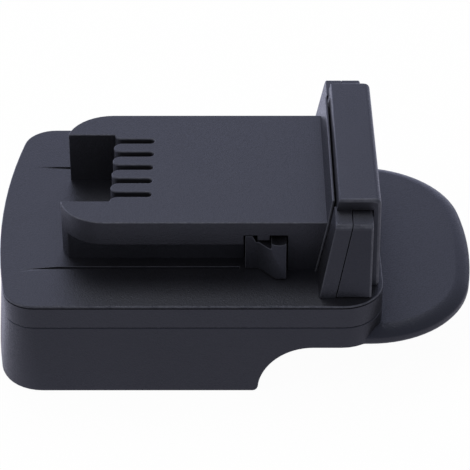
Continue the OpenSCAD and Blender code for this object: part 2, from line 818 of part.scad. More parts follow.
// The battery socket: open downwards and to the back, with a finger relief behind the side walls
module socket_space() {
    translate([0, 0, -over]) linear_extrude(socket_h + over) intersection() {
        translate([front_x, -socket_w / 2]) square([tip_x - front_x, socket_w]);
        union() {
            polygon(body_pts(socket_front_wall));
            translate([relief_x, -socket_w / 2]) square([tip_x - relief_x, socket_w]);
        }
    }
    across(-body_w, body_w) {
        translate([relief_x + socket_h, 0]) circle(r = socket_h, $fn = 96);
        translate([relief_x + socket_h, -over]) square([tip_x - relief_x, socket_h + over]);
    }
}

// Two lips along the side walls that carry the pack, with a tapered way in
module guide_lips() {
    inner_y = socket_w / 2 - lip_w;
    translate([0, 0, lip_z]) linear_extrude(lip_h) intersection() {
        polygon(body_pts(socket_front_wall / 2));
        both_sides() polygon([
            [front_x, inner_y], [relief_x - 2 * lip_w, inner_y], [relief_x - lip_w / 2, socket_w / 2],
            [relief_x - lip_w / 2, body_y], [front_x, body_y]
        ]);
    }
}

module lower_housing() {
    color([0.15, 0.15, 0.17]) {
        difference() {
            union() {
                difference() {
                    lower_skin();
                    socket_space();
                    translate([0, 0, roof_z]) linear_extrude(lower_h) polygon(body_pts(lower_wall));
                }
                pull_tab();
                guide_lips();
                translate([0, 0, roof_z - over]) linear_extrude(tongue_z - roof_z + over) difference() {
                    polygon(body_pts(cover_wall + tongue_gap));
                    polygon(body_pts(cover_wall + tongue_gap + tongue_t));
                }
                at_board_posts() translate([0, 0, roof_z - over])
                    cylinder(h = post_h + over, r = small_boss_r);
            }
            box([block_x - block_gap, -block_y - block_gap, socket_h - over],
                [block_back_x + block_gap, block_y + block_gap, roof_z + over]);
            box([relief_x + socket_h / 2, -catch_w / 2, socket_h - over],
                [relief_x + socket_h / 2 + catch_l, catch_w / 2, socket_h + catch_depth]);
            at_bosses() translate([0, 0, socket_h - over]) {
                cylinder(h = roof_t + 2 * over, r = screw_r + pass_gap);
                cylinder(h = over + screw_head_h, r = screw_head_r + pass_gap);
            }
            at_board_posts() translate([0, 0, roof_z - hole_end])
                cylinder(h = hole_end + post_h + over, r = small_r + screw_gap);
            at_blade_screws() translate([0, 0, roof_z - blade_screw_l - hole_end])
                cylinder(h = blade_screw_l + hole_end + over, r = small_r + screw_gap);
        }
    }
}

// Cap over the latches: top, leaning front wall with the fixed strips, back wall and middle post
module hump_cap() {
    half = cap_w / 2;
    top_z = hump_z - cap_edge_r;
    top_x = cap_rear_x - cap_edge_r;
    under_z = shelf_z + shelf_gap;
    color([0.17, 0.17, 0.19]) difference() {
        union() {
            across(-half, half) polygon(concat(
                [[lean_x(under_z) + cap_off, under_z], [cap_rear_x, under_z]],
                arc([top_x, top_z], cap_edge_r, 0, 90, edge_steps),
                [[lean_x(hump_z) + cap_off, hump_z]]
            ));
            leaning(cap_off, cap_off + strip_t, plate_z, under_z + over, -half, half);
            both_sides() intersection() {
                leaning(frame_t, cap_off + strip_t, plate_z, shelf_z, 0, body_y);
                flared_side(hump_x, rear_x, frame_y + strip_side_gap, plate_z);
            }
            along(cap_inner_x, cap_rear_x) polygon([
                [-cap_foot_w / 2, plate_z], [cap_foot_w / 2, plate_z],
                [half, under_z + over], [-half, under_z + over]
            ]);
            across(-post_y, post_y) polygon([
                [lean_x(plate_z) + cap_off, plate_z], [cap_rear_x, plate_z],
                [cap_rear_x, under_z + over], [lean_x(under_z + over) + cap_off, under_z + over]
            ]);
        }
        both_sides() box([hump_x - over, post_y, plate_z - over],
            [lean_x(shelf_z) + button_off, tunnel_y, plate_z + arm_h + 2 * slide_gap]);
        both_sides() translate([cap_screw_x, cap_screw_y, plate_z - over])
            cylinder(h = over + cap_screw_l + hole_end, r = small_r + screw_gap);
    }
}

// Block that holds the five clips behind the slots, screwed to the roof of the chamber
module terminal_holder() {
    color([0.2, 0.2, 0.22]) difference() {
        union() {
            box([holder_x, -holder_y, holder_floor_z], [holder_x + holder_block_l, holder_y, holder_top_z]);
            box([holder_x, -holder_y, ear_z], [chamber_end_x - holder_gap, holder_y, ear_z + ear_t]);
        }
        for (k = [0 : slot_n - 1]) translate([0, slot_y(k), 0]) {
            half = clip_w / 2 + contact_gap;
            tail_half = clip_tail_w / 2 + contact_gap;
            box([holder_x - over, -half, clip_z - contact_gap],
                [clip_back_x + contact_gap, half, clip_z + clip_h + contact_gap]);
            box([clip_tail_x - contact_gap, -tail_half, holder_floor_z - over],
                [clip_back_x + contact_gap, tail_half, clip_z]);
        }
        both_sides() translate([ear_x, ear_y, ear_z - over])
            cylinder(h = ear_t + 2 * over, r = small_r + pass_gap);
    }
}

// A clip with two sprung leaves that reach forward into a slot, and a tail for its lead
module clip(y) {
    outer = clip_w / 2;
    inner = outer - leaf_t;
    tip_x = clip_base_x - leaf_l;
    pinch_x = clip_base_x - leaf_l * pinch_share;
    translate([0, y, 0]) {
        box([clip_base_x, -outer, clip_z], [clip_back_x, outer, clip_z + clip_h]);
        box([clip_tail_x, -clip_tail_w / 2, clip_tail_z], [clip_back_x, clip_tail_w / 2, clip_z + over]);
        both_sides() translate([0, 0, clip_z]) linear_extrude(clip_h) polygon([
            [clip_base_x + over, outer], [clip_base_x, outer], [pinch_x, outer - leaf_pinch], [tip_x, outer],
            [tip_x, inner], [pinch_x, inner - leaf_pinch], [clip_base_x, inner], [clip_base_x + over, inner]
        ]);
    }
}

module positive_clip() {
    color([0.8, 0.62, 0.3]) clip(slot_y(0));
}

module negative_clip() {
    color([0.8, 0.62, 0.3]) clip(slot_y(slot_n - 1));
}

module signal_clips() {
    color([0.8, 0.62, 0.3]) for (k = [1 : slot_n - 2]) clip(slot_y(k));
}

// Insulating block that carries the battery blades, let down through the socket roof
module blade_holder() {
    color([0.2, 0.2, 0.22]) difference() {
        union() {
            box([block_x, -block_y, block_z], [block_back_x, block_y, block_top_z]);
            box([block_x - block_flange, -block_y - block_ear, roof_z],
                [block_back_x + block_flange, block_y + block_ear, block_top_z]);
        }
        for (k = [0 : blade_n - 1]) {
            half = blade_t / 2 + contact_gap;
            box([blade_root_x - contact_gap, blade_y(k) - half, blade_z - contact_gap],
                [block_back_x + over, blade_y(k) + half, blade_z + blade_h + contact_gap]);
            box([blade_tail_x - contact_gap, blade_y(k) - half, blade_z],
                [blade_tail_x + blade_tail_l + contact_gap, blade_y(k) + half, block_top_z + over]);
        }
        at_blade_screws() translate([0, 0, roof_z - over])
            cylinder(h = block_flange_t + 2 * over, r = small_r + pass_gap);
    }
}

// A battery blade with a chamfered end and a tail that stands up above the holder
module blade(k) {
    top_z = blade_z + blade_h;
    nose_x = blade_end_x - blade_nose;
    tail_back_x = blade_tail_x + blade_tail_l;
    across(blade_y(k) - blade_t / 2, blade_y(k) + blade_t / 2) polygon([
        [blade_root_x, blade_z], [nose_x, blade_z], [blade_end_x, blade_z + blade_nose],
        [blade_end_x, top_z - blade_nose], [nose_x, top_z], [tail_back_x, top_z],
        [tail_back_x, blade_tail_z], [blade_tail_x, blade_tail_z], [blade_tail_x, top_z],
        [blade_root_x, top_z]
    ]);
}

module positive_blade() {
    color([0.78, 0.6, 0.32]) blade(0);
}

module negative_blade() {
    color([0.78, 0.6, 0.32]) blade(blade_n - 1);
}

module signal_blades() {
    color([0.78, 0.6, 0.32]) for (k = [1 : blade_n - 2]) blade(k);
}

module circuit_board() {
    color([0.1, 0.36, 0.2]) difference() {
        box([board_x, -board_w / 2, board_z], [board_x + board_l, board_w / 2, board_top_z]);
        at_board_posts() translate([0, 0, board_z - over])
            cylinder(h = board_t + 2 * over, r = small_r + pass_gap);
    }
}

// A block on the board
module board_part(place, size) {
    translate([board_x + place[0], place[1], board_top_z]) cube(size);
}

// Parts on the board: a control chip, a flat resistor and a diode
module board_parts() {
    color([0.1, 0.1, 0.11]) {
        board_part(chip_place, chip_size);
        board_part(resistor_place, resistor_size);
        board_part(diode_place, diode_size);
    }
}

module board_screws() {
    color([0.7, 0.7, 0.72]) at_board_posts() translate([0, 0, board_top_z + small_head_h])
        mirror([0, 0, 1]) screw(small_r, board_t + post_h, small_head_r, small_head_h);
}

module housing_screws() {
    color([0.6, 0.6, 0.62]) at_bosses() translate([0, 0, socket_h])
        screw(screw_r, screw_l - screw_head_h, screw_head_r, screw_head_h);
}

module cap_screws() {
    color([0.7, 0.7, 0.72]) both_sides() translate([cap_screw_x, cap_screw_y, ceiling_z - small_head_h])
        screw(small_r, plate_t + cap_screw_l, small_head_r, small_head_h);
}

module terminal_screws() {
    color([0.7, 0.7, 0.72]) both_sides() translate([ear_x, ear_y, ear_z - small_head_h])
        screw(small_r, ear_t + terminal_screw_l, small_head_r, small_head_h);
}

module blade_screws() {
    color([0.7, 0.7, 0.72]) at_blade_screws() translate([0, 0, block_top_z + small_head_h])
        mirror([0, 0, 1]) screw(small_r, block_flange_t + blade_screw_l, small_head_r, small_head_h);
}

// A power lead from a blade's tail over the board to a clip's tail
module power_lead(from_y, to_y) {
    start_x = blade_tail_x + blade_tail_l + lead_gap;
    low_z = block_top_z + power_lead_d / 2 + pass_gap;
    run = [for (p = power_route)
        [start_x + p[0], from_y + (to_y - from_y) * p[1], low_z + (lead_z - low_z) * p[2]]];
    tube(concat(run, [[clip_tail_x - lead_gap, to_y, lead_z]]), power_lead_d);
}

module positive_lead() {
    color([0.75, 0.1, 0.08]) power_lead(blade_y(0), slot_y(0));
}

module negative_lead() {
    color([0.08, 0.08, 0.08]) power_lead(blade_y(blade_n - 1), slot_y(slot_n - 1));
}

// Signal leads: from each signal blade to the board's edge, and from the board up to each signal clip
module signal_leads() {
    blade_back_x = blade_tail_x + blade_tail_l + lead_gap;
    edge_z = board_z + board_t / 2;
    clip_front_x = clip_tail_x - lead_gap;
    low_z = board_top_z + lead_gap;
    color([0.85, 0.8, 0.75]) {
        for (k = [1 : blade_n - 2])
            tube(concat(
                [for (p = blade_route) [blade_back_x + p[0], blade_y(k), edge_z + p[1]]],
                [[board_x - lead_gap, blade_y(k), edge_z]]
            ), signal_lead_d);
        for (k = [1 : slot_n - 2])
            tube([for (p = clip_route)
                [clip_front_x + p[0], slot_y(k), low_z + (lead_z - low_z) * p[1]]], signal_lead_d);
    }
}

// A latch: release button, arm along the tunnel and a hook that stands out of its window
module latch() {
    base_z = plate_z + slide_gap;
    arm_top = base_z + arm_h;
    hook_top = base_z + hook_h;
    step_top = hook_top + hook_step;
    back_x = cap_inner_x - slide_gap;
    hook_x0 = window_x + slide_gap;
    hook_x1 = window_end_x - slide_gap;
    front_top = plate_z + window_h - slide_gap;
    notch_x = finger_x - slide_gap;
    step_x = finger_x + finger_w + slide_gap;
    flush_y = rail_y - slide_gap;
    nose_y = rail_y + hook_reach;
    ramp_x = hook_x0 + hook_flat;
    difference() {
        intersection() {
            across(button_y, body_y) polygon([
                [lean_x(base_z) + button_off, base_z], [back_x, base_z],
                [back_x, shelf_z], [lean_x(shelf_z) + button_off, shelf_z]
            ]);
            flared_side(hump_x, rear_x, button_y - over, base_z);
        }
        translate([spring_x, button_y - over, spring_z]) rotate([-90, 0, 0])
            cylinder(h = bore_depth + over, r = spring_bore_r);
    }
    box([lean_x(arm_top) + button_off, arm_y, base_z], [back_x, button_y + over, arm_top]);
    box([hook_x0, arm_y, base_z], [back_x, arm_y + arm_w, arm_top]);
    difference() {
        intersection() {
            translate([0, 0, base_z]) linear_extrude(front_top - base_z) polygon([
                [hook_x0, arm_y], [hook_x1, arm_y], [hook_x1, nose_y], [hook_x1 - hook_nose, nose_y],
                [ramp_x, flush_y], [hook_x0, flush_y]
            ]);
            along(hook_x0 - over, hook_x1 + over) polygon([
                [arm_y, base_z], [nose_y, base_z], [nose_y - hook_lean, step_top],
                [nose_y - hook_lean, front_top], [arm_y, front_top]
            ]);
        }
        across(arm_y - over, nose_y) polygon([
            [notch_x - hook_slope, front_top], [notch_x, hook_top], [step_x, hook_top],
            [step_x, step_top], [hook_x1 + over, step_top], [hook_x1 + over, front_top + over],
            [notch_x - hook_slope, front_top + over]
        ]);
        across(arm_y - over, nose_y) translate([(step_x + hook_x1) / 2, step_top + scoop_r - scoop_depth])
            circle(r = scoop_r);
    }
}

module left_latch() {
    color([0.15, 0.15, 0.17]) mirror([0, 1, 0]) latch();
}

module right_latch() {
    color([0.15, 0.15, 0.17]) latch();
}

// A ring of points round the wire of a spring
function coil_ring(k) =
    let (
        a = 360 * k / coil_rings,
        out = [cos(a), 0, sin(a)],
        rise = (coil_y1 - coil_y0) / coil_count * coil_rings / (2 * PI * coil_r),
        t0 = [-sin(a), rise, cos(a)],
        t = t0 / norm(t0),
        v = cross(t, out)
    )
    [for (i = [0 : coil_sides - 1])
        coil_path[k] + wire_d / 2 * (cos(360 * i / coil_sides) * out + sin(360 * i / coil_sides) * v)];

module spring() {
    loft([for (k = [coil_count : -1 : 0]) coil_ring(k)]);
}

module left_spring() {
    color([0.75, 0.75, 0.77]) mirror([0, 1, 0]) spring();
}

module right_spring() {
    color([0.75, 0.75, 0.77]) spring();
}

upper_housing();
lower_housing();
hump_cap();
terminal_holder();
positive_clip();
negative_clip();
signal_clips();
blade_holder();
positive_blade();
negative_blade();
signal_blades();
circuit_board();
board_parts();
board_screws();
housing_screws();
cap_screws();
terminal_screws();
blade_screws();
positive_lead();
negative_lead();
signal_leads();
left_latch();
right_latch();
left_spring();
right_spring();
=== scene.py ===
"""Looks of a slide-on battery adapter: rounded mouldings, contacts, wiring and a plain studio."""

import logging
import math
from collections.abc import Callable
from dataclasses import dataclass, field
from enum import Enum

import bmesh
import bpy
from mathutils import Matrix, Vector


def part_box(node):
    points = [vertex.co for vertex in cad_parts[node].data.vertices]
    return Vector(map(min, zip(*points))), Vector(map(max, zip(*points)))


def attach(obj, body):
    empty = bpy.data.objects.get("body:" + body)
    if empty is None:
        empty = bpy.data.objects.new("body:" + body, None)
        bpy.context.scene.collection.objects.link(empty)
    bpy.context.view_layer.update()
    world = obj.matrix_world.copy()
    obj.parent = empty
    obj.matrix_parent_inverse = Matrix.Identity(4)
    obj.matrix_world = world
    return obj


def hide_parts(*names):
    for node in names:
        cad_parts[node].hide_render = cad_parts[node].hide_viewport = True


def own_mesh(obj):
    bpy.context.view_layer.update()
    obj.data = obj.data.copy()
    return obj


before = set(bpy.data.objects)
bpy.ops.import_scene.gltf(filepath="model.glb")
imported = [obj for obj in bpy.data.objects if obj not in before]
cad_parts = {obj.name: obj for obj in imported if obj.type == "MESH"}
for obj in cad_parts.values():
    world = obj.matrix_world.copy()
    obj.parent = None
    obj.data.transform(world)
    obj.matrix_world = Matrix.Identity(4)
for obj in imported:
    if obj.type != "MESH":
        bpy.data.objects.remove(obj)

log = logging.getLogger("battery_adapter")

Piece = bpy.types.Object
Socket = bpy.types.NodeSocket
Rack = dict[str, bpy.types.Material]
Shaper = Callable[[Piece], None]
Span = tuple[float, float]
Colour = tuple[float, float, float]
Corner = tuple[float, float, float]

MM = 0.001
FAR = 200.0  # past the part on every side, in millimetres
ALL: Span = (-FAR, FAR)
EDGE_GLINT = "painted_edge_glint"  # the attribute with each face's share of the painted highlight that lightens rounded edges and slopes
ROUNDED = 1  # the material index that marks the faces of a rounded edge
FINE_STEPS = 2  # steps of a rounding that is too small to need more
NOISE_MIDDLE: Span = (0.3, 0.7)  # most of a noise pattern lies between these values
WHITE = (1.0, 1.0, 1.0, 1.0)


class Body(Enum):
    """Rigid bodies of the adapter."""

    HOUSING = "housing"
    LEFT = "left_release"
    RIGHT = "right_release"


class Side(Enum):
    """The two sides of the slide direction."""

    LEFT = -1
    RIGHT = 1

    @property
    def word(self) -> str:
        """The side's name, as the solids use it."""
        return self.name.lower()

    @property
    def body(self) -> Body:
        """The body that moves on this side."""
        return Body.LEFT if self is Side.LEFT else Body.RIGHT

    def beyond(self, distance: float, end: float = FAR) -> Span:
        """The span on this side from one distance to another, in millimetres."""
        near, far = sorted((self.value * distance, self.value * end))
        return near, far


class Glint(Enum):
    """How strong the painted highlight on an edge is, as a share of the full highlight."""

    NONE = 0.0
    FAINT = 0.3
    LIGHT = 0.5
    MEDIUM = 0.6
    STRONG = 0.8
    FULL = 1.0


class Bench:
    """Modelling helpers that keep the selection and the edit mode in order."""

    @staticmethod
    def close() -> None:
        """Leave edit mode, where a piece is open in it."""
        if bpy.context.object is not None and bpy.context.object.mode != "OBJECT":
            bpy.ops.object.mode_set(mode="OBJECT")

    @staticmethod
    def clear() -> None:
        """Deselect every object, as before a primitive is added."""
        Bench.close()
        bpy.ops.object.select_all(action="DESELECT")

    @staticmethod
    def take(piece: Piece) -> None:
        """Make a piece the only selected and the active object.

        Args:
            piece: The object to work on.
        """
        Bench.clear()
        piece.select_set(True)
        bpy.context.view_layer.objects.active = piece

    @staticmethod
    def edit(piece: Piece) -> None:
        """Open a piece in edit mode with all of it selected.

        Args:
            piece: The object to work on.
        """
        Bench.take(piece)
        bpy.ops.object.mode_set(mode="EDIT")
        bpy.ops.mesh.select_all(action="SELECT")

    @staticmethod
    def pick(piece: Piece, wanted: Callable[[Vector], bool]) -> None:
        """Open a piece in edit mode with some of its points selected.

        Args:
            piece: The object to work on.
            wanted: Says which points are selected.
        """
        Bench.edit(piece)
        bpy.ops.mesh.select_mode(type="VERT")
        bpy.ops.mesh.select_all(action="DESELECT")
        Bench.close()
        for vertex in piece.data.vertices:
            vertex.select = wanted(vertex.co)
        bpy.ops.object.mode_set(mode="EDIT")

    @staticmethod
    def pick_edges(piece: Piece, wanted: Callable[[Vector, Vector], bool]) -> None:
        """Open a piece in edit mode with some of its edges selected.

        Args:
            piece: The object to work on.
            wanted: Says by their two ends which edges are selected.
        """
        Bench.pick(piece, lambda point: False)
        bpy.ops.mesh.select_mode(type="EDGE")
        Bench.close()
        points = piece.data.vertices
        for edge in piece.data.edges:
            start, end = (points[index].co for index in edge.vertices)
            edge.select = wanted(start, end)
        bpy.ops.object.mode_set(mode="EDIT")

    @staticmethod
    def shift(piece: Piece, wanted: Callable[[Vector], bool], way: Corner) -> None:
        """Move some points of a piece.

        Args:
            piece: The object to work on.
            wanted: Says which points move.
            way: How far they move along each axis, in millimetres.
        """
        Bench.pick(piece, wanted)
        bpy.ops.transform.translate(value=[MM * part for part in way])
        Bench.close()

    @staticmethod
    def apply(piece: Piece, modifier: bpy.types.Modifier) -> None:
        """Apply a modifier to a piece."""
        Bench.take(piece)
        bpy.ops.object.modifier_apply(modifier=modifier.name)

    @staticmethod
    def cut(piece: Piece, tool: Piece) -> None:
        """Cut a tool's shape out of a piece and put the tool away.

        Args:
            piece: The object to cut.
            tool: The closed shape that is taken away from it.
        """
        trim = piece.modifiers.new("cut", "BOOLEAN")
        trim.operation = "DIFFERENCE"
        trim.solver = "EXACT"
        trim.object = tool
        Bench.apply(piece, trim)
        bpy.data.objects.remove(tool, do_unlink=True)

    @staticmethod
    def smooth(piece: Piece, angle: float) -> None:
        """Shade a piece smooth up to an angle, with the flat faces kept flat.

        Args:
            piece: The object to shade.
            angle: Edges sharper than this many degrees stay sharp.
        """
        Bench.take(piece)
        bpy.ops.object.shade_smooth_by_angle(angle=math.radians(angle))
        weigh = piece.modifiers.new("flat_faces", "WEIGHTED_NORMAL")
        weigh.keep_sharp = True
        Bench.apply(piece, weigh)

    @staticmethod
    def dress(piece: Piece, material: bpy.types.Material) -> None:
        """Give a piece one material."""
        piece.data.materials.clear()
        piece.data.materials.append(material)


class Wires:
    """A node tree, with short calls to add nodes and feed them."""

    def __init__(self, tree: bpy.types.NodeTree) -> None:
        """Take a tree in hand."""
        self.tree = tree

    def add(
        self, kind: str, *inputs: object, operation: str = "", **named: object,
    ) -> bpy.types.Node:
        """Add a shader node and feed it.

        Args:
            kind: The node's type, without its prefix.
            *inputs: What its first inputs get, in order.
            operation: What a maths node works out.
            **named: What inputs get by name, with underscores for spaces.

        Returns:
            The new node.
        """
        node = self.tree.nodes.new("ShaderNode" + kind)
        if operation:
            node.operation = operation
        self.feed(node, *inputs, **named)
        return node

    def feed(self, node: bpy.types.Node, *inputs: object, **named: object) -> None:
        """Feed a node: a socket is linked to an input, and any other value is set there.

        Args:
            node: The node.
            *inputs: What its first inputs get, in order.
            **named: What inputs get by name, with underscores for spaces.
        """
        targets = [node.inputs[name.replace("_", " ")] for name in named]
        for target, given in [*zip(node.inputs, inputs), *zip(targets, named.values())]:
            if isinstance(given, Socket):
                self.tree.links.new(given, target)
            else:
                target.default_value = given


@dataclass(frozen=True)
class Noise:
    """A noise pattern: repeats in a metre, octaves of finer noise and scale along each axis."""

    scale: float
    detail: float
    stretch: Corner = (1.0, 1.0, 1.0)


class Sheet(Wires):
    """The node tree of a material, with the patterns that finishes are made of."""

    # Patches that break the painted edge highlight into speckles.
    patches: Noise = Noise(700.0, 4.0)
    patch_share: Span = (0.45, 1.3)

    def __init__(self, name: str) -> None:
        """Start a material with its surface shader.

        Args:
            name: The material's name.
        """
        self.material = bpy.data.materials.new(name)
        self.material.use_nodes = True
        super().__init__(self.material.node_tree)
        self.surface = self.tree.nodes["Principled BSDF"]
        self.place = self.add("TexCoord").outputs["Object"]

    def noise(self, pattern: Noise) -> Socket:
        """Lay a noise pattern on the piece's own place.

        Args:
            pattern: The pattern.

        Returns:
            The pattern's value.
        """
        place = self.add("Mapping", Vector=self.place, Scale=pattern.stretch).outputs["Vector"]
        node = self.add("TexNoise", Vector=place, Scale=pattern.scale, Detail=pattern.detail)
        return node.outputs["Fac"]

    def between(self, value: Socket, span: Span) -> Socket:
        """Map the middle of a noise pattern to a span.

        Args:
            value: The pattern.
            span: Values where the pattern is dark and where it is light.

        Returns:
            The mapped value.
        """
        low, high = NOISE_MIDDLE
        node = self.add(
            "MapRange", Value=value, From_Min=low, From_Max=high, To_Min=span[0], To_Max=span[1])
        return node.outputs["Result"]

    def ramp(self, value: Socket, dark: Colour, light: Colour) -> Socket:
        """Colour a pattern from dark to light.

        Args:
            value: The pattern.
            dark: Colour of its low values.
            light: Colour of its high values.

        Returns:
            The colour.
        """
        node = self.add("ValToRGB", Fac=value)
        for stop, position, colour in zip(node.color_ramp.elements, NOISE_MIDDLE, (dark, light)):
            stop.position = position
            stop.color = (*colour, 1)
        return node.outputs["Color"]

    def glint(self, colour: Socket, glinting: Colour) -> Socket:
        """Paint a highlight into a colour along the rounded edges and slopes, in patches.

        Args:
            colour: The colour of the surface without the painted highlight.
            glinting: What the full painted highlight adds to it.

        Returns:
            The colour with its painted highlight.
        """
        share = self.add("Attribute")
        share.attribute_name = EDGE_GLINT
        patches = self.between(self.noise(self.patches), self.patch_share)
        amount = self.add("Math", share.outputs["Fac"], patches, operation="MULTIPLY")
        total = self.add(
            "VectorMath", amount.outputs["Value"], glinting, colour, operation="MULTIPLY_ADD")
        return total.outputs["Vector"]


@dataclass(frozen=True)
class Finish:
    """A surface with a coarse pattern in its colour and a fine one in its gloss and relief."""

    dark: Colour
    light: Colour
    roughness: Span
    coarse: Noise
    fine: Noise
    bump_strength: float
    bump_depth: float

    def material(self, name: str) -> bpy.types.Material:
        """Make the material.

        Args:
            name: The material's name.

        Returns:
            The material.
        """
        sheet = Sheet(name)
        fine = sheet.noise(self.fine)
        bump = sheet.add("Bump", Height=fine, Strength=self.bump_strength, Distance=self.bump_depth)
        gloss = sheet.between(fine, self.roughness)
        sheet.feed(
            sheet.surface, Base_Color=self.tone(sheet), Roughness=gloss,
            Normal=bump.outputs["Normal"], **self.own())
        return sheet.material

    def tone(self, sheet: Sheet) -> Socket:
        """The colour of the surface."""
        return sheet.ramp(sheet.noise(self.coarse), self.dark, self.light)

    def own(self) -> dict[str, object]:
        """Values that only this kind of finish sets."""
        return {}


@dataclass(frozen=True)
class MouldedPlastic(Finish):
    """Black moulding with a fine spark-eroded grain and a painted highlight along its rounded
    edges.
    """

    roughness: Span = (0.32, 0.54)
    coarse: Noise = Noise(90.0, 4.0)
    fine: Noise = Noise(2800.0, 2.0)
    bump_strength: float = 0.6
    bump_depth: float = 0.12 * MM
    tint: tuple[float, float, float, float] = (0.82, 0.86, 1.0, 1.0)
    # What a full painted highlight adds to the colour on edges and slopes.
    glinting: Colour = (0.045, 0.046, 0.054)

    def tone(self, sheet: Sheet) -> Socket:
        """The colour of the plastic, with the painted highlight on its edges."""
        return sheet.glint(super().tone(sheet), self.glinting)

    def own(self) -> dict[str, object]:
        """The cool tint of the reflections."""
        return {"Specular_Tint": self.tint}


@dataclass(frozen=True)
class BareMetal(Finish):
    """Rolled or drawn metal with fine lines along X."""

    roughness: Span = (0.22, 0.38)
    coarse: Noise = Noise(400.0, 4.0)
    fine: Noise = Noise(4000.0, 3.0, (0.12, 1.0, 1.0))
    bump_strength: float = 0.15
    bump_depth: float = 0.02 * MM

    def own(self) -> dict[str, object]:
        """The shader's metal."""
        return {"Metallic": 1.0}


@dataclass(frozen=True)
class SmoothSkin(Finish):
    """Lacquer or lead insulation: a smooth coloured skin with faint unevenness."""

    roughness: Span = (0.28, 0.4)
    coarse: Noise = Noise(260.0, 3.0)
    fine: Noise = Noise(1800.0, 2.0)
    bump_strength: float = 0.08
    bump_depth: float = 0.03 * MM


FINISHES: dict[str, Finish] = {
    "housing_plastic": MouldedPlastic((0.0084, 0.0083, 0.0098), (0.0104, 0.0103, 0.0122)),
    "lower_plastic": MouldedPlastic((0.0068, 0.0067, 0.008), (0.0084, 0.0083, 0.0098)),
    "cap_plastic": MouldedPlastic((0.0084, 0.0083, 0.0098), (0.0104, 0.0103, 0.0122)),
    "latch_plastic": MouldedPlastic((0.0056, 0.0055, 0.0066), (0.007, 0.0069, 0.0082)),
    "insulator_plastic": MouldedPlastic((0.012, 0.012, 0.014), (0.016, 0.016, 0.018)),
    "chip_plastic": MouldedPlastic((0.011, 0.011, 0.012), (0.017, 0.017, 0.018)),
    "contact_brass": BareMetal((0.62, 0.41, 0.17), (0.78, 0.56, 0.27)),
    "screw_steel": BareMetal((0.42, 0.42, 0.43), (0.56, 0.56, 0.58)),
    "spring_steel": BareMetal((0.46, 0.46, 0.48), (0.6, 0.6, 0.62)),
    "board_laminate": SmoothSkin((0.02, 0.11, 0.05), (0.03, 0.17, 0.08)),
    "red_lead": SmoothSkin((0.42, 0.022, 0.018), (0.55, 0.035, 0.028)),
    "black_lead": SmoothSkin((0.011, 0.011, 0.012), (0.018, 0.018, 0.019)),
    "white_lead": SmoothSkin((0.58, 0.56, 0.52), (0.7, 0.68, 0.64)),
}


def around(value: float, reach: float) -> Span:
    """The span on both sides of a value."""
    return value - reach, value + reach


@dataclass(frozen=True)
class Box:
    """A box by its spans along the axes, in millimetres."""

    x: Span = ALL
    y: Span = ALL
    z: Span = ALL

    def holds(self, point: Vector, slack: float = 0.0) -> bool:
        """Whether a point, in metres, lies in the box or within some millimetres of it."""
        spans = zip(point, (self.x, self.y, self.z))
        return all(low - slack <= part / MM <= high + slack for part, (low, high) in spans)


@dataclass(frozen=True)
class EdgeZone(Box):
    """A box with the rounding of its sharp edges, in millimetres, and the painted highlight on
    them.
    """

    amount: float = 0.0
    glint: Glint = Glint.NONE


def finish_piece(piece: Piece, node: str, body: Body, slot: str, rack: Rack) -> None:
    """Dress a piece and let it stand for its solid.

    Args:
        piece: The finished mesh.
        node: The solid that it stands for.
        body: The body that it moves with.
        slot: Its material slot.
        rack: The finishes by slot.
    """
    Bench.dress(piece, rack[slot])
    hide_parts(node)
    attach(piece, body.value)
    log.info("%s: %d faces", piece.name, len(piece.data.polygons))


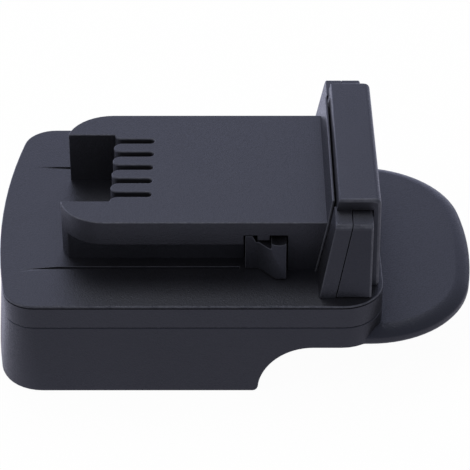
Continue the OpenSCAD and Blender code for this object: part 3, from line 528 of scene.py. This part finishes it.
@dataclass
class RoundedCopy:
    """A merged copy of a solid, with its outer edges rounded."""

    node: str
    slot: str
    zones: tuple[EdgeZone, ...]
    body: Body = Body.HOUSING
    suffix: str = "moulding"
    sharp: float = 50.0
    merge: float = 0.001 * MM
    flat: float = 0.2
    segments: int = 3
    smooth: float = 40.0
    # Zones where the slopes of rounded edges get a painted highlight; slopes says how steep those
    # faces are.
    glinting: tuple[EdgeZone, ...] = ()
    slopes: Span = (0.1, 0.97)
    before: Shaper | None = None
    after: Shaper | None = None

    def build(self, rack: Rack) -> None:
        """Make the piece and let it stand for its solid.

        Args:
            rack: The finishes by slot.
        """
        piece = self.copy()
        if self.before is not None:
            self.before(piece)
        self._round(piece, self._weigh(piece))
        self._mark_glints(piece)
        if self.after is not None:
            self.after(piece)
        Bench.smooth(piece, self.smooth)
        finish_piece(piece, self.node, self.body, self.slot, rack)

    def copy(self) -> Piece:
        """Copy the solid, weld its loose triangles and join those that lie in one plane.

        Returns:
            The merged copy.
        """
        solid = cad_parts[self.node]
        piece = bpy.data.objects.new(self.node + "_" + self.suffix, solid.data.copy())
        bpy.context.scene.collection.objects.link(piece)
        Bench.take(piece)
        if piece.data.has_custom_normals:
            bpy.ops.mesh.customdata_custom_splitnormals_clear()
        Bench.edit(piece)
        bpy.ops.mesh.remove_doubles(threshold=self.merge)
        bpy.ops.mesh.dissolve_limited(angle_limit=math.radians(self.flat))
        Bench.close()
        return piece

    def _radius(self, start: Vector, end: Vector) -> float:
        """Rounding of an edge: that of the first zone which holds it."""
        held = (zone.amount for zone in self.zones if zone.holds(start) and zone.holds(end))
        return next(held, 0.0)

    def _weigh(self, piece: Piece) -> float:
        """Weigh the sharp outer edges by their rounding.

        Args:
            piece: The merged copy.

        Returns:
            The largest rounding, in millimetres.
        """
        shape = bmesh.new()
        shape.from_mesh(piece.data)
        radii = []
        for edge in shape.edges:
            outer = edge.is_manifold and edge.calc_face_angle_signed(0.0) > math.radians(self.sharp)
            radii.append(self._radius(edge.verts[0].co, edge.verts[1].co) if outer else 0.0)
        shape.free()
        largest = max(radii)
        weights = piece.data.attributes.new("bevel_weight_edge", "FLOAT", "EDGE")
        weights.data.foreach_set("value", [radius / largest for radius in radii])
        return largest

    def _round(self, piece: Piece, largest: float) -> None:
        """Round the weighed edges and mark the new faces.

        Args:
            piece: The merged copy, with its edges weighed.
            largest: The largest rounding, in millimetres.
        """
        bevel = piece.modifiers.new("rounding", "BEVEL")
        bevel.limit_method = "WEIGHT"
        bevel.width = largest * MM
        bevel.segments = self.segments
        bevel.use_clamp_overlap = False
        piece.data.materials.clear()
        for _ in range(ROUNDED + 1):
            piece.data.materials.append(None)
        bevel.material = ROUNDED
        Bench.apply(piece, bevel)
        Bench.edit(piece)
        bpy.ops.mesh.remove_doubles(threshold=self.merge)
        Bench.close()

    def _mark_glints(self, piece: Piece) -> None:
        """Note how much painted highlight each face gets: a rounded edge or a slope as its first
        zone says.

        Args:
            piece: The rounded copy, with the faces of its rounded edges marked.
        """
        low, high = self.slopes
        shares = []
        for face in piece.data.polygons:
            steep = abs(face.normal.z)
            zones, fade = (), 0.0
            if face.material_index == ROUNDED:
                zones, fade = self.zones, 1.0
            elif low < steep < high:
                zones, fade = self.glinting, math.sin(2 * math.acos(steep)) ** 2  # the painted highlight is brightest at 45 degrees
            held = (zone.glint.value for zone in zones if zone.holds(face.center, zone.amount))
            shares.append(fade * next(held, 0.0))
            face.material_index = 0
        piece.data.attributes.new(EDGE_GLINT, "FLOAT", "FACE").data.foreach_set("value", shares)


@dataclass
class Shared:
    """Sizes that more than one moulding uses, in millimetres."""

    front: float = -58.55
    back: float = 36.0
    half_width: float = 39.4
    wall: float = 2.5
    parting: float = 19.6
    parting_round: float = 0.3
    plate: float = 26.0
    shelf: float = 45.3
    shelf_edge: float = 1.2
    gap_round: float = 0.12
    play: float = 0.1

    @property
    def inside_x(self) -> Span:
        """The space between the front and the back wall."""
        return self.front + self.wall - self.play, self.back - self.wall + self.play

    @property
    def inside_y(self) -> Span:
        """The space between the side walls."""
        return around(0.0, self.half_width - self.wall + self.play)

    @property
    def shelf_z(self) -> Span:
        """The height of the rounded edge under the shelf of the hump, which gets a painted
        highlight.
        """
        return self.shelf - self.shelf_edge, self.shelf


@dataclass
class UpperHousing(Shared):
    """Plate with its skirt, the rail with its bay and slots, and the thin frame of the hump."""

    ceiling: float = 23.5
    rail: float = 39.9
    chamber_front: float = -20.4
    chamber_back: float = -0.6
    chamber_half: float = 16.2
    chamber_top: float = 37.4
    window_front: float = 2.35
    window_back: float = 12.9
    window_top: float = 36.05
    tunnel_back: float = 22.8
    tunnel_half: float = 19.6
    tunnel_top: float = 36.35
    frame_foot: float = 19.2
    web_half: float = 19.4
    rail_half: float = 24.4
    slot_mouth: float = -30.6
    slot_end: float = -20.25
    slot_end_foot: float = 36.4
    slot_width: float = 2.0
    slot_pitch: float = 6.03
    slot_steps: int = 8
    slot_round: float = 0.35
    groove_front: float = -50.55
    groove_bend: float = -43.0
    groove_back: float = 2.5
    groove_reach: float = 0.8
    far_groove_in: float = 2.8
    tip_half: float = 1.0
    tip_reach: float = 1.6
    tip_turn: float = 1.1
    rail_round: float = 0.22
    frame_round: float = 0.2
    plate_edge: float = 0.4
    line_width: float = 0.4
    line_deepening: float = 0.3
    groove_round: float = 0.1
    window_round: float = 0.2

    def build(self, rack: Rack) -> None:
        """Round the outside and keep the inside sharp.

        Args:
            rack: The finishes by slot.
        """
        # Painted highlight on the slopes of the plate's rounded rim.
        glinting = (EdgeZone(z=(self.plate - self.plate_edge, self.plate), glint=Glint.FULL),)
        RoundedCopy(
            "upper_housing", "housing_plastic", self._zones(), glinting=glinting,
            before=self._prepare, after=self._refine,
        ).build(rack)

    def _prepare(self, piece: Piece) -> None:
        """Round the slots and cut the grooves before the edges are rounded."""
        self._round_slots(piece)
        self._cut_grooves(piece)

    def _round_slots(self, piece: Piece) -> None:
        """Turn the square closed ends of the contact slots into half rounds.

        Args:
            piece: The merged copy of the housing.
        """
        half = self.slot_width / 2
        wall = Box(
            around(self.slot_end, self.play / 2), around(0.0, self.chamber_half),
            (self.slot_end_foot - self.play, self.rail + self.play))

        def across(start: Vector, end: Vector) -> bool:
            """Whether an edge runs across the end wall of one slot."""
            excess = abs(end.y - start.y) / MM - self.slot_width
            return wall.holds(start) and wall.holds(end) and abs(excess) < self.play

        Bench.pick_edges(piece, across)
        bpy.ops.mesh.subdivide(number_cuts=self.slot_steps - 1)
        for step in range(self.slot_steps + 1):
            even = half * (2 * step / self.slot_steps - 1)
            turn = math.pi * (step / self.slot_steps - 0.5)

            def in_column(point: Vector, even: float = even) -> bool:
                """Whether a point lies on an end wall, in one upright row."""
                off = math.remainder(point.y / MM - even, self.slot_pitch)
                return wall.holds(point) and abs(off) < self.play / 2

            way = (half * (math.cos(turn) - 1), half * math.sin(turn) - even, 0.0)
            Bench.shift(piece, in_column, way)

    def _cut_grooves(self, piece: Piece) -> None:
        """Cut the rims of the grooves where their ramps end, so that the tips can turn.

        Args:
            piece: The merged copy of the housing.
        """
        Bench.edit(piece)
        bpy.ops.mesh.bisect(plane_co=(self.groove_bend * MM, 0, 0), plane_no=(1, 0, 0))
        Bench.close()

    def _refine(self, piece: Piece) -> None:
        """Work over the fine line and the grooves of the rounded housing.

        Args:
            piece: The rounded copy of the housing.
        """
        tip = around(self.groove_front, self.tip_half)
        whole = (tip[0], self.groove_back)
        self._deepen_line(piece)
        self._shift_groove(piece, whole, Side.RIGHT, (0.0, -self.far_groove_in, 0.0))
        self._shift_groove(piece, tip, Side.RIGHT, (-self.tip_reach, 0.0, 0.0))
        self._shift_groove(piece, tip, Side.LEFT, (-self.tip_reach, -self.tip_turn, 0.0))

    def _shift_groove(self, piece: Piece, stretch: Span, side: Side, way: Corner) -> None:
        """Move the points of one groove beside the rail.

        Args:
            piece: The rounded copy of the housing.
            stretch: Where the moved stretch starts and ends, in millimetres.
            side: The side that the groove is on.
            way: How far it moves along each axis, in millimetres.
        """
        beside = side.beyond(self.web_half + self.play, self.rail_half + self.play)
        groove = Box(stretch, beside, (self.plate - self.groove_reach, self.plate + self.play))
        Bench.shift(piece, groove.holds, way)

    def _deepen_line(self, piece: Piece) -> None:
        """Press the bottom of the fine line round the skirt further in.

        Args:
            piece: The rounded copy of the housing.
        """
        level = self.plate - self.plate_edge - self.line_width / 2
        Bench.pick(piece, Box(z=around(level, self.play / 2)).holds)
        bpy.ops.transform.shrink_fatten(value=-self.line_deepening * MM)
        Bench.close()

    def _zones(self) -> tuple[EdgeZone, ...]:
        """Edge roundings, from the hidden inside to the outside.

        Returns:
            The zones, with the first that holds an edge ahead of the others.
        """
        near = self.play
        tunnel = around(0.0, self.tunnel_half + near)
        chamber = around(0.0, self.chamber_half + near)
        chamber_x = (self.chamber_front, self.chamber_back + near)
        window_x = (self.window_front - near, self.window_back + near)
        slots_x = (self.slot_mouth, self.slot_end + near)
        plate_z = (self.ceiling + near, self.plate + near)
        over_plate = (self.plate - near, FAR)
        over_rail = (self.rail - near, FAR)
        return (
            EdgeZone(self.inside_x, self.inside_y, (0.0, self.ceiling + near)),
            EdgeZone(chamber_x, chamber, (0.0, self.chamber_top + near)),
            EdgeZone((window_x[0], self.tunnel_back), tunnel, (0.0, self.tunnel_top + near)),
            # The last value of a zone paints a highlight on its rounded edges.
            EdgeZone((self.frame_foot, FAR), ALL, over_plate, self.frame_round, Glint.FULL),
            EdgeZone(slots_x, chamber, over_rail, self.slot_round, Glint.LIGHT),
            EdgeZone(ALL, ALL, over_rail, self.rail_round, Glint.FULL),
            EdgeZone(ALL, ALL, (0.0, self.parting + near), self.parting_round),
            EdgeZone(ALL, ALL, plate_z, self.groove_round, Glint.MEDIUM),
            EdgeZone(window_x, ALL, (self.ceiling, self.window_top + near), self.window_round),
            EdgeZone(ALL, ALL, (self.ceiling, FAR), self.parting_round),
        )


@dataclass
class LowerHousing(Shared):
    """Shell under the parting line, with the socket, the finger relief and the pull tab."""

    roof: float = 16.7
    tab_roll: float = 1.6
    tab_steps: int = 6
    relief: float = 5.65
    relief_foot: float = 2.4
    relief_reach: float = 0.9
    foot_round: float = 2.2
    foot_lean: float = 0.17
    foot_steps: int = 48
    cutter_width: float = 118.2
    rim_round: float = 0.35
    smooth: float = 30.0

    def build(self, rack: Rack) -> None:
        """Round the outside and keep the inside and the feet at the relief sharp.

        Args:
            rack: The finishes by slot.
        """
        near = self.play
        foot = (self.relief - near - self.foot_round, self.relief + self.relief_reach)
        zones = (
            EdgeZone(self.inside_x, self.inside_y, (self.roof - near, FAR)),
            EdgeZone(foot, ALL, (-near, self.relief_foot)),
            EdgeZone(ALL, ALL, around(self.parting, near), self.parting_round),
            EdgeZone(ALL, ALL, (-near, FAR), self.rim_round),
        )
        RoundedCopy(
            "lower_housing", "lower_plastic", zones, smooth=self.smooth, before=self._prepare,
        ).build(rack)

    def _prepare(self, piece: Piece) -> None:
        """Shape the tab and the feet of the side walls before the edges are rounded."""
        self._roll_tab(piece)
        self._round_feet(piece)

    def _round_feet(self, piece: Piece) -> None:
        """Cut the lower back corners of the side walls to a quarter round.

        Args:
            piece: The merged copy of the shell.
        """
        radius = self.foot_round * MM
        across = self.cutter_width * MM
        middle = Vector(((self.relief + self.foot_lean) * MM - radius, 0, radius))
        Bench.clear()
        bpy.ops.mesh.primitive_cube_add(
            size=1, location=middle + Vector((radius, 0, -radius)),
            scale=(2 * radius, across, 2 * radius))
        corner = bpy.context.object
        bpy.ops.object.transform_apply(location=True, rotation=True, scale=True)
        Bench.clear()
        bpy.ops.mesh.primitive_cylinder_add(
            vertices=self.foot_steps, radius=radius, depth=2 * across, location=middle,
            rotation=(math.pi / 2, 0, 0))
        Bench.cut(corner, bpy.context.object)
        Bench.cut(piece, corner)

    def _roll_tab(self, piece: Piece) -> None:
        """Roll the upper edge of the pull tab, where its top turns into its slope.

        Args:
            piece: The merged copy of the shell.
        """
        level = Box(z=around(self.roof, self.play / 2))

        def on_crease(start: Vector, end: Vector) -> bool:
            """Whether an edge lies on the rim of the tab's top, behind the shell."""
            behind = max(start.x, end.x) / MM > self.back + self.play
            return behind and level.holds(start) and level.holds(end)

        Bench.pick_edges(piece, on_crease)
        bpy.ops.mesh.bevel(
            offset=self.tab_roll * MM, segments=self.tab_steps, affect="EDGES", clamp_overlap=False)
        Bench.close()


@dataclass
class HumpCap(Shared):
    """Top of the hump with its fixed strips, back wall and middle post."""

    under: float = 45.45
    cap_half: float = 27.05
    cap_back: float = 34.95
    shelf_side: float = 31.5
    top: float = 48.25
    top_front: float = 25.0
    strip_back: float = 24.1
    strip_top: float = 46.45
    top_round: float = 0.8
    front_round: float = 0.3
    strip_round: float = 0.35
    back_round: float = 0.8

    def build(self, rack: Rack) -> None:
        """Round the top, the strips and the back edges, and paint highlights on them and on the
        shelves.

        Args:
            rack: The finishes by slot.
        """
        near = self.play
        foot = self.plate - near
        strip_x = (-FAR, self.strip_back)
        strip_z = (foot, self.strip_top)
        outer = [side.beyond(self.cap_half - near) for side in Side]
        zones = (
            EdgeZone((-FAR, self.top_front), ALL, (self.top - near, FAR), self.front_round),
            EdgeZone(ALL, ALL, (self.under + near, FAR), self.top_round, Glint.STRONG),
            EdgeZone((self.cap_back - near, FAR), ALL, (foot, FAR), self.back_round, Glint.STRONG),
            *(EdgeZone(strip_x, y, strip_z, self.strip_round, Glint.FAINT) for y in outer),
            *(EdgeZone(ALL, y, strip_z, self.gap_round) for y in outer),
        )
        # Painted highlight on the slopes of the shelves.
        shelves = [side.beyond(self.shelf_side) for side in Side]
        glinting = tuple(EdgeZone(y=y, z=self.shelf_z, glint=Glint.FULL) for y in shelves)
        RoundedCopy("hump_cap", "cap_plastic", zones, glinting=glinting).build(rack)


@dataclass
class ReleaseLatch(Shared):
    """One latch: button, arm and hook in one moulding."""

    side: Side = field(kw_only=True)
    hook_back: float = 13.0
    button_front: float = 24.55
    button_lean: float = 0.19
    button_back: float = 32.85
    button_side: float = 30.0
    button_inside: float = 27.0
    gap_close: float = 0.15
    back_round: float = 0.6
    hook_round: float = 0.15
    smooth: float = 52.0

    def build(self, rack: Rack) -> None:
        """Round the button's back edge more than the rest, and paint highlights on the edges and
        the shelf.

        Args:
            rack: The finishes by slot.
        """
        outer = self.side.beyond(self.button_side)
        button_back = (self.button_back - self.play, FAR)
        zones = (
            EdgeZone(button_back, outer, amount=self.back_round, glint=Glint.STRONG),
            EdgeZone((-FAR, self.hook_back), amount=self.hook_round, glint=Glint.LIGHT),
            EdgeZone(amount=self.gap_round, glint=Glint.FAINT),
        )
        glinting = (EdgeZone(y=outer, z=self.shelf_z, glint=Glint.FULL),)
        RoundedCopy(
            self.side.word + "_latch", "latch_plastic", zones, self.side.body, smooth=self.smooth,
            glinting=glinting, after=self._close_gap,
        ).build(rack)

    def _close_gap(self, piece: Piece) -> None:
        """Bring the leaning front of the button nearer to the fixed strip.

        Args:
            piece: The rounded copy of the latch.
        """
        def on_front(point: Vector) -> bool:
            """Whether a point lies on the button's front or the rounding round it."""
            off = point.x / MM - self.button_lean * (point.z / MM - self.plate) - self.button_front
            return abs(point.y) / MM > self.button_inside and abs(off) < self.gap_round + self.play

        Bench.shift(piece, on_front, (-self.gap_close, 0.0, 0.0))


@dataclass
class ReturnSpring:
    """One return spring: round wire in nine turns, with a closed ring at each end."""

    side: Side
    turns: int = 9
    wire: float = 0.55 * MM
    steps: int = 24
    sides: int = 12
    smooth: float = 60.0
    travel: float = 4.4 * MM

    def build(self, rack: Rack) -> None:
        """Wind the spring in the place of its solid.

        Args:
            rack: The finishes by slot.
        """
        node = self.side.word + "_spring"
        low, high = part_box(node)
        middle = (low + high) / 2
        start, end = (low.y, high.y) if self.side is Side.RIGHT else (high.y, low.y)
        radius = (high.x - low.x - self.wire) / 2
        inset = self.side.value * self.wire / 2
        first, last = (Vector((middle.x, y, middle.z)) for y in (start + inset, end - inset))
        coil = self._coil(first, radius, end - start - 2 * inset)
        rings = [self._ring(place, radius) for place in (first, last)]
        Bench.take(coil)
        for ring in rings:
            ring.select_set(True)
        bpy.ops.object.join()
        coil.name = node + "_wire"
        bpy.ops.object.transform_apply(location=True, rotation=True, scale=True)
        Bench.smooth(coil, self.smooth)
        finish_piece(coil, node, Body.HOUSING, "spring_steel", rack)
        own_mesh(coil)

    def _coil(self, place: Vector, radius: float, rise: float) -> Piece:
        """Wind a circle of wire round the spring's axis.

        Args:
            place: Middle of the first turn.
            radius: Radius at the middle of the wire.
            rise: Way along Y from the first turn to the last, with its sign.

        Returns:
            The coil.
        """
        Bench.clear()
        bpy.ops.mesh.primitive_circle_add(vertices=self.sides, radius=self.wire / 2, location=place)
        coil = bpy.context.object
        Bench.edit(coil)
        bpy.ops.transform.translate(value=(radius, 0, 0))
        Bench.close()
        wind = coil.modifiers.new("wind", "SCREW")
        wind.axis = "Y"
        wind.angle = -2 * math.pi * self.turns
        wind.screw_offset = rise
        wind.steps = wind.render_steps = self.turns * self.steps
        Bench.apply(coil, wind)
        Bench.edit(coil)
        bpy.ops.mesh.fill_holes(sides=0)
        bpy.ops.mesh.select_all(action="SELECT")
        bpy.ops.mesh.normals_make_consistent(inside=False)
        Bench.close()
        return coil

    def _ring(self, place: Vector, radius: float) -> Piece:
        """Close an end of the spring with a ring.

        Args:
            place: Middle of the ring.
            radius: Radius at the middle of the wire.

        Returns:
            The ring.
        """
        Bench.clear()
        bpy.ops.mesh.primitive_torus_add(
            major_segments=self.steps, minor_segments=self.sides, major_radius=radius,
            minor_radius=self.wire / 2, location=place,
            rotation=(math.pi / 2, math.pi / self.steps, 0))
        return bpy.context.object


@dataclass
class PackTerminals:
    """Terminal block and blades for the battery pack, in the front of the socket."""

    block_round: float = 0.3
    blade_round: float = 0.12
    blade_sharp: float = 30.0
    blades: tuple[str, ...] = ("positive_blade", "negative_blade", "signal_blades")

    def build(self, rack: Rack) -> None:
        """Round the block and break the edges of the blades.

        Args:
            rack: The finishes by slot.
        """
        block = (EdgeZone(amount=self.block_round),)
        RoundedCopy("blade_holder", "insulator_plastic", block).build(rack)
        for node in self.blades:
            RoundedCopy(
                node, "contact_brass", (EdgeZone(amount=self.blade_round),), suffix="stamping",
                sharp=self.blade_sharp, segments=FINE_STEPS,
            ).build(rack)


@dataclass
class ToolTerminals:
    """Terminal holder and sprung clips behind the slots of the rail."""

    holder_round: float = 0.2
    clip_round: float = 0.08
    clips: tuple[str, ...] = ("positive_clip", "negative_clip", "signal_clips")

    def build(self, rack: Rack) -> None:
        """Round the holder and break the edges of the clips.

        Args:
            rack: The finishes by slot.
        """
        holder = (EdgeZone(amount=self.holder_round),)
        RoundedCopy("terminal_holder", "insulator_plastic", holder).build(rack)
        for node in self.clips:
            RoundedCopy(
                node, "contact_brass", (EdgeZone(amount=self.clip_round),), suffix="stamping",
                segments=FINE_STEPS,
            ).build(rack)


@dataclass
class ControlBoard:
    """The small board with its parts."""

    board_round: float = 0.15
    part_round: float = 0.2

    def build(self, rack: Rack) -> None:
        """Break the edges of the board and of the parts on it.

        Args:
            rack: The finishes by slot.
        """
        RoundedCopy(
            "circuit_board", "board_laminate", (EdgeZone(amount=self.board_round),),
            suffix="laminate", segments=FINE_STEPS,
        ).build(rack)
        parts = (EdgeZone(amount=self.part_round),)
        RoundedCopy("board_parts", "chip_plastic", parts, suffix="chips").build(rack)


@dataclass
class Fasteners:
    """The screws, each with a hexagon socket in its head."""

    head_round: float = 0.18
    smooth: float = 30.0
    nodes: tuple[str, ...] = (
        "housing_screws", "cap_screws", "terminal_screws", "blade_screws", "board_screws")

    def build(self, rack: Rack) -> None:
        """Round the heads.

        Args:
            rack: The finishes by slot.
        """
        heads = (EdgeZone(amount=self.head_round),)
        for node in self.nodes:
            RoundedCopy(node, "screw_steel", heads, suffix="turned", smooth=self.smooth).build(rack)


@dataclass
class Wiring:
    """Leads between the two sets of contacts."""

    levels: int = 2
    end_angle: float = 70.0
    smooth: float = 60.0
    slots: dict[str, str] = field(default_factory=lambda: {
        "positive_lead": "red_lead", "negative_lead": "black_lead", "signal_leads": "white_lead"})

    def build(self, rack: Rack) -> None:
        """Make each lead a smooth round tube.

        Args:
            rack: The finishes by slot.
        """
        for node, slot in self.slots.items():
            piece = RoundedCopy(node, slot, (), suffix="insulation").copy()
            self._soften(piece)
            Bench.smooth(piece, self.smooth)
            finish_piece(piece, node, Body.HOUSING, slot, rack)

    def _soften(self, piece: Piece) -> None:
        """Subdivide a lead, with its ends kept square.

        Args:
            piece: The merged copy of the lead.
        """
        creases = piece.data.attributes.new("crease_edge", "FLOAT", "EDGE")
        shape = bmesh.new()
        shape.from_mesh(piece.data)
        end = math.radians(self.end_angle)
        ends = [float(edge.calc_face_angle(0.0) > end) for edge in shape.edges]
        creases.data.foreach_set("value", ends)
        shape.free()
        soft = piece.modifiers.new("soft", "SUBSURF")
        soft.levels = soft.render_levels = self.levels
        Bench.apply(piece, soft)


@dataclass(frozen=True)
class PhotoCamera:
    """The camera of the picture: looks at the near side from above."""

    place: Corner = (-0.15 * MM, -431.84 * MM, 323.02 * MM)
    elevation: float = 35.13
    yaw: float = -0.05
    focal_px: float = 2069.0
    image_px: float = 470.0
    sensor: float = 36.0
    clip_start: float = 0.01

    def build(self) -> None:
        """Add the camera and look through it."""
        lens = bpy.data.cameras.new("photo_camera")
        lens.sensor_width = self.sensor
        lens.lens = self.focal_px / self.image_px * self.sensor
        lens.clip_start = self.clip_start
        camera = bpy.data.objects.new("photo_camera", lens)
        camera.location = self.place
        tilt = math.pi / 2 - math.radians(self.elevation)
        camera.rotation_euler = (tilt, 0.0, math.radians(self.yaw))
        bpy.context.scene.collection.objects.link(camera)
        bpy.context.scene.camera = camera


@dataclass(frozen=True)
class SoftBox:
    """A square lamp that faces the object."""

    name: str
    place: Corner
    size: float
    power: float

    def build(self) -> None:
        """Add the lamp."""
        lamp = bpy.data.lights.new(self.name, "AREA")
        lamp.size = self.size
        lamp.energy = self.power
        holder = bpy.data.objects.new(self.name, lamp)
        holder.location = self.place
        holder.rotation_euler = (-Vector(self.place)).to_track_quat("-Z", "Y").to_euler()
        bpy.context.scene.collection.objects.link(holder)


@dataclass(frozen=True)
class Gradient:
    """A colour that changes along an axis, between two places on it."""

    axis: Corner
    span: Span
    colours: tuple[Colour, Colour]

    def lay(self, wires: Wires, place: Socket) -> Socket:
        """Add the colour to a node tree.

        Args:
            wires: The node tree.
            place: The place or direction that is coloured.

        Returns:
            The colour.
        """
        way = wires.add("VectorMath", place, self.axis, operation="DOT_PRODUCT").outputs["Value"]
        share = wires.add("MapRange", Value=way, From_Min=self.span[0], From_Max=self.span[1])
        ramp = wires.add("ValToRGB", Fac=share.outputs["Result"])
        for stop, colour in zip(ramp.color_ramp.elements, self.colours):
            stop.color = (*colour, 1)
        return ramp.outputs["Color"]


@dataclass(frozen=True)
class Studio:
    """A white floor in cool, even light, both of which fade to the front in reflections."""

    floor_size: float = 12.0
    floor_gap: float = 0.2 * MM
    floor_glow: float = 0.97
    floor_white: Colour = (0.97, 0.97, 0.97)
    floor_shade: Gradient = Gradient(
        (-0.45, 0.9, 0.0), (-0.03, 0.09), ((0.7, 0.69, 0.82), (1.35, 1.38, 1.75)))
    sky_shade: Gradient = Gradient(
        (-0.45, 0.78, -0.62), (0.0, 0.78), ((0.4, 0.42, 0.55), (1.03, 1.08, 1.54)))
    fill: float = 0.65
    lamps: tuple[SoftBox, ...] = (
        SoftBox("overhead", (-0.1, 0.38, 0.82), 0.4, 1.8),
        SoftBox("left_fill", (-0.9, -0.35, 0.5), 0.5, 1.2),
    )

    def build(self) -> None:
        """Add the floor, the world and the lamps."""
        self._floor()
        self._world()
        for lamp in self.lamps:
            lamp.build()

    def _floor(self) -> None:
        """Lay a floor that looks white to the camera and keeps a soft shadow."""
        Bench.clear()
        bpy.ops.mesh.primitive_plane_add(size=self.floor_size, location=(0, 0, -self.floor_gap))
        floor = bpy.context.object
        floor.name = "floor"
        bpy.ops.object.transform_apply(location=True)
        material = bpy.data.materials.new("white_floor")
        material.use_nodes = True
        material.node_tree.nodes.clear()
        wires = Wires(material.node_tree)
        paper = wires.add("BsdfDiffuse", Color=(*self.floor_white, 1))
        shade = self.floor_shade.lay(wires, wires.add("TexCoord").outputs["Object"])
        mirrored = wires.add("Emission", Color=shade)
        glow = self._camera_white(wires, mirrored, wires.add("Emission", Color=WHITE))
        share = wires.add("Math", self._seen(wires), self.floor_glow, operation="MULTIPLY")
        mix = wires.add("MixShader", share.outputs["Value"], paper.outputs[0], glow)
        wires.add("OutputMaterial", mix.outputs[0])
        Bench.dress(floor, material)

    def _world(self) -> None:
        """Light the scene evenly: white to the camera, a cool shade in reflections."""
        world = bpy.data.worlds.new("even_light")
        bpy.context.scene.world = world
        world.use_nodes = True
        wires = Wires(world.node_tree)
        light = wires.tree.nodes["Background"]
        wires.feed(light, Color=WHITE, Strength=self.fill)
        shade = self.sky_shade.lay(wires, wires.add("TexCoord").outputs["Generated"])
        mirrored = wires.add("Background", Color=shade)
        sky = self._camera_white(wires, mirrored, wires.add("Background", Color=WHITE))
        mix = wires.add("MixShader", self._seen(wires), light.outputs[0], sky)
        wires.feed(wires.tree.nodes["World Output"], mix.outputs[0])

    @staticmethod
    def _seen(wires: Wires) -> Socket:
        """Tell camera, glossy and transmission rays from the rest.

        Args:
            wires: The node tree to add it to.

        Returns:
            A value of 1 on these rays and 0 on others.
        """
        path = wires.add("LightPath").outputs
        total = path["Is Camera Ray"]
        for name in ("Is Glossy Ray", "Is Transmission Ray"):
            total = wires.add("Math", total, path[name], operation="MAXIMUM").outputs["Value"]
        return total

    @staticmethod
    def _camera_white(wires: Wires, other: bpy.types.Node, white: bpy.types.Node) -> Socket:
        """Join two lights: one for the camera and one for reflections.

        Args:
            wires: The node tree to add it to.
            other: Light that reflections see.
            white: Light that the camera sees.

        Returns:
            The joined light.
        """
        seen = wires.add("LightPath").outputs["Is Camera Ray"]
        return wires.add("MixShader", seen, other.outputs[0], white.outputs[0]).outputs[0]


SUB_ASSEMBLIES = (
    UpperHousing(), LowerHousing(), HumpCap(),
    ReleaseLatch(side=Side.LEFT), ReleaseLatch(side=Side.RIGHT),
    ReturnSpring(Side.LEFT), ReturnSpring(Side.RIGHT),
    PackTerminals(), ToolTerminals(), ControlBoard(), Fasteners(), Wiring(),
)


def main() -> None:
    """Build the adapter's looks and its studio."""
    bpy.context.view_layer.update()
    scene = bpy.context.scene
    scene.view_settings.view_transform = "Standard"
    PhotoCamera().build()
    Studio().build()
    rack = {slot: finish.material(slot) for slot, finish in FINISHES.items()}
    for sub_assembly in SUB_ASSEMBLIES:
        sub_assembly.build(rack)


if __name__ == "__main__":
    logging.basicConfig(level=logging.INFO)
    main()
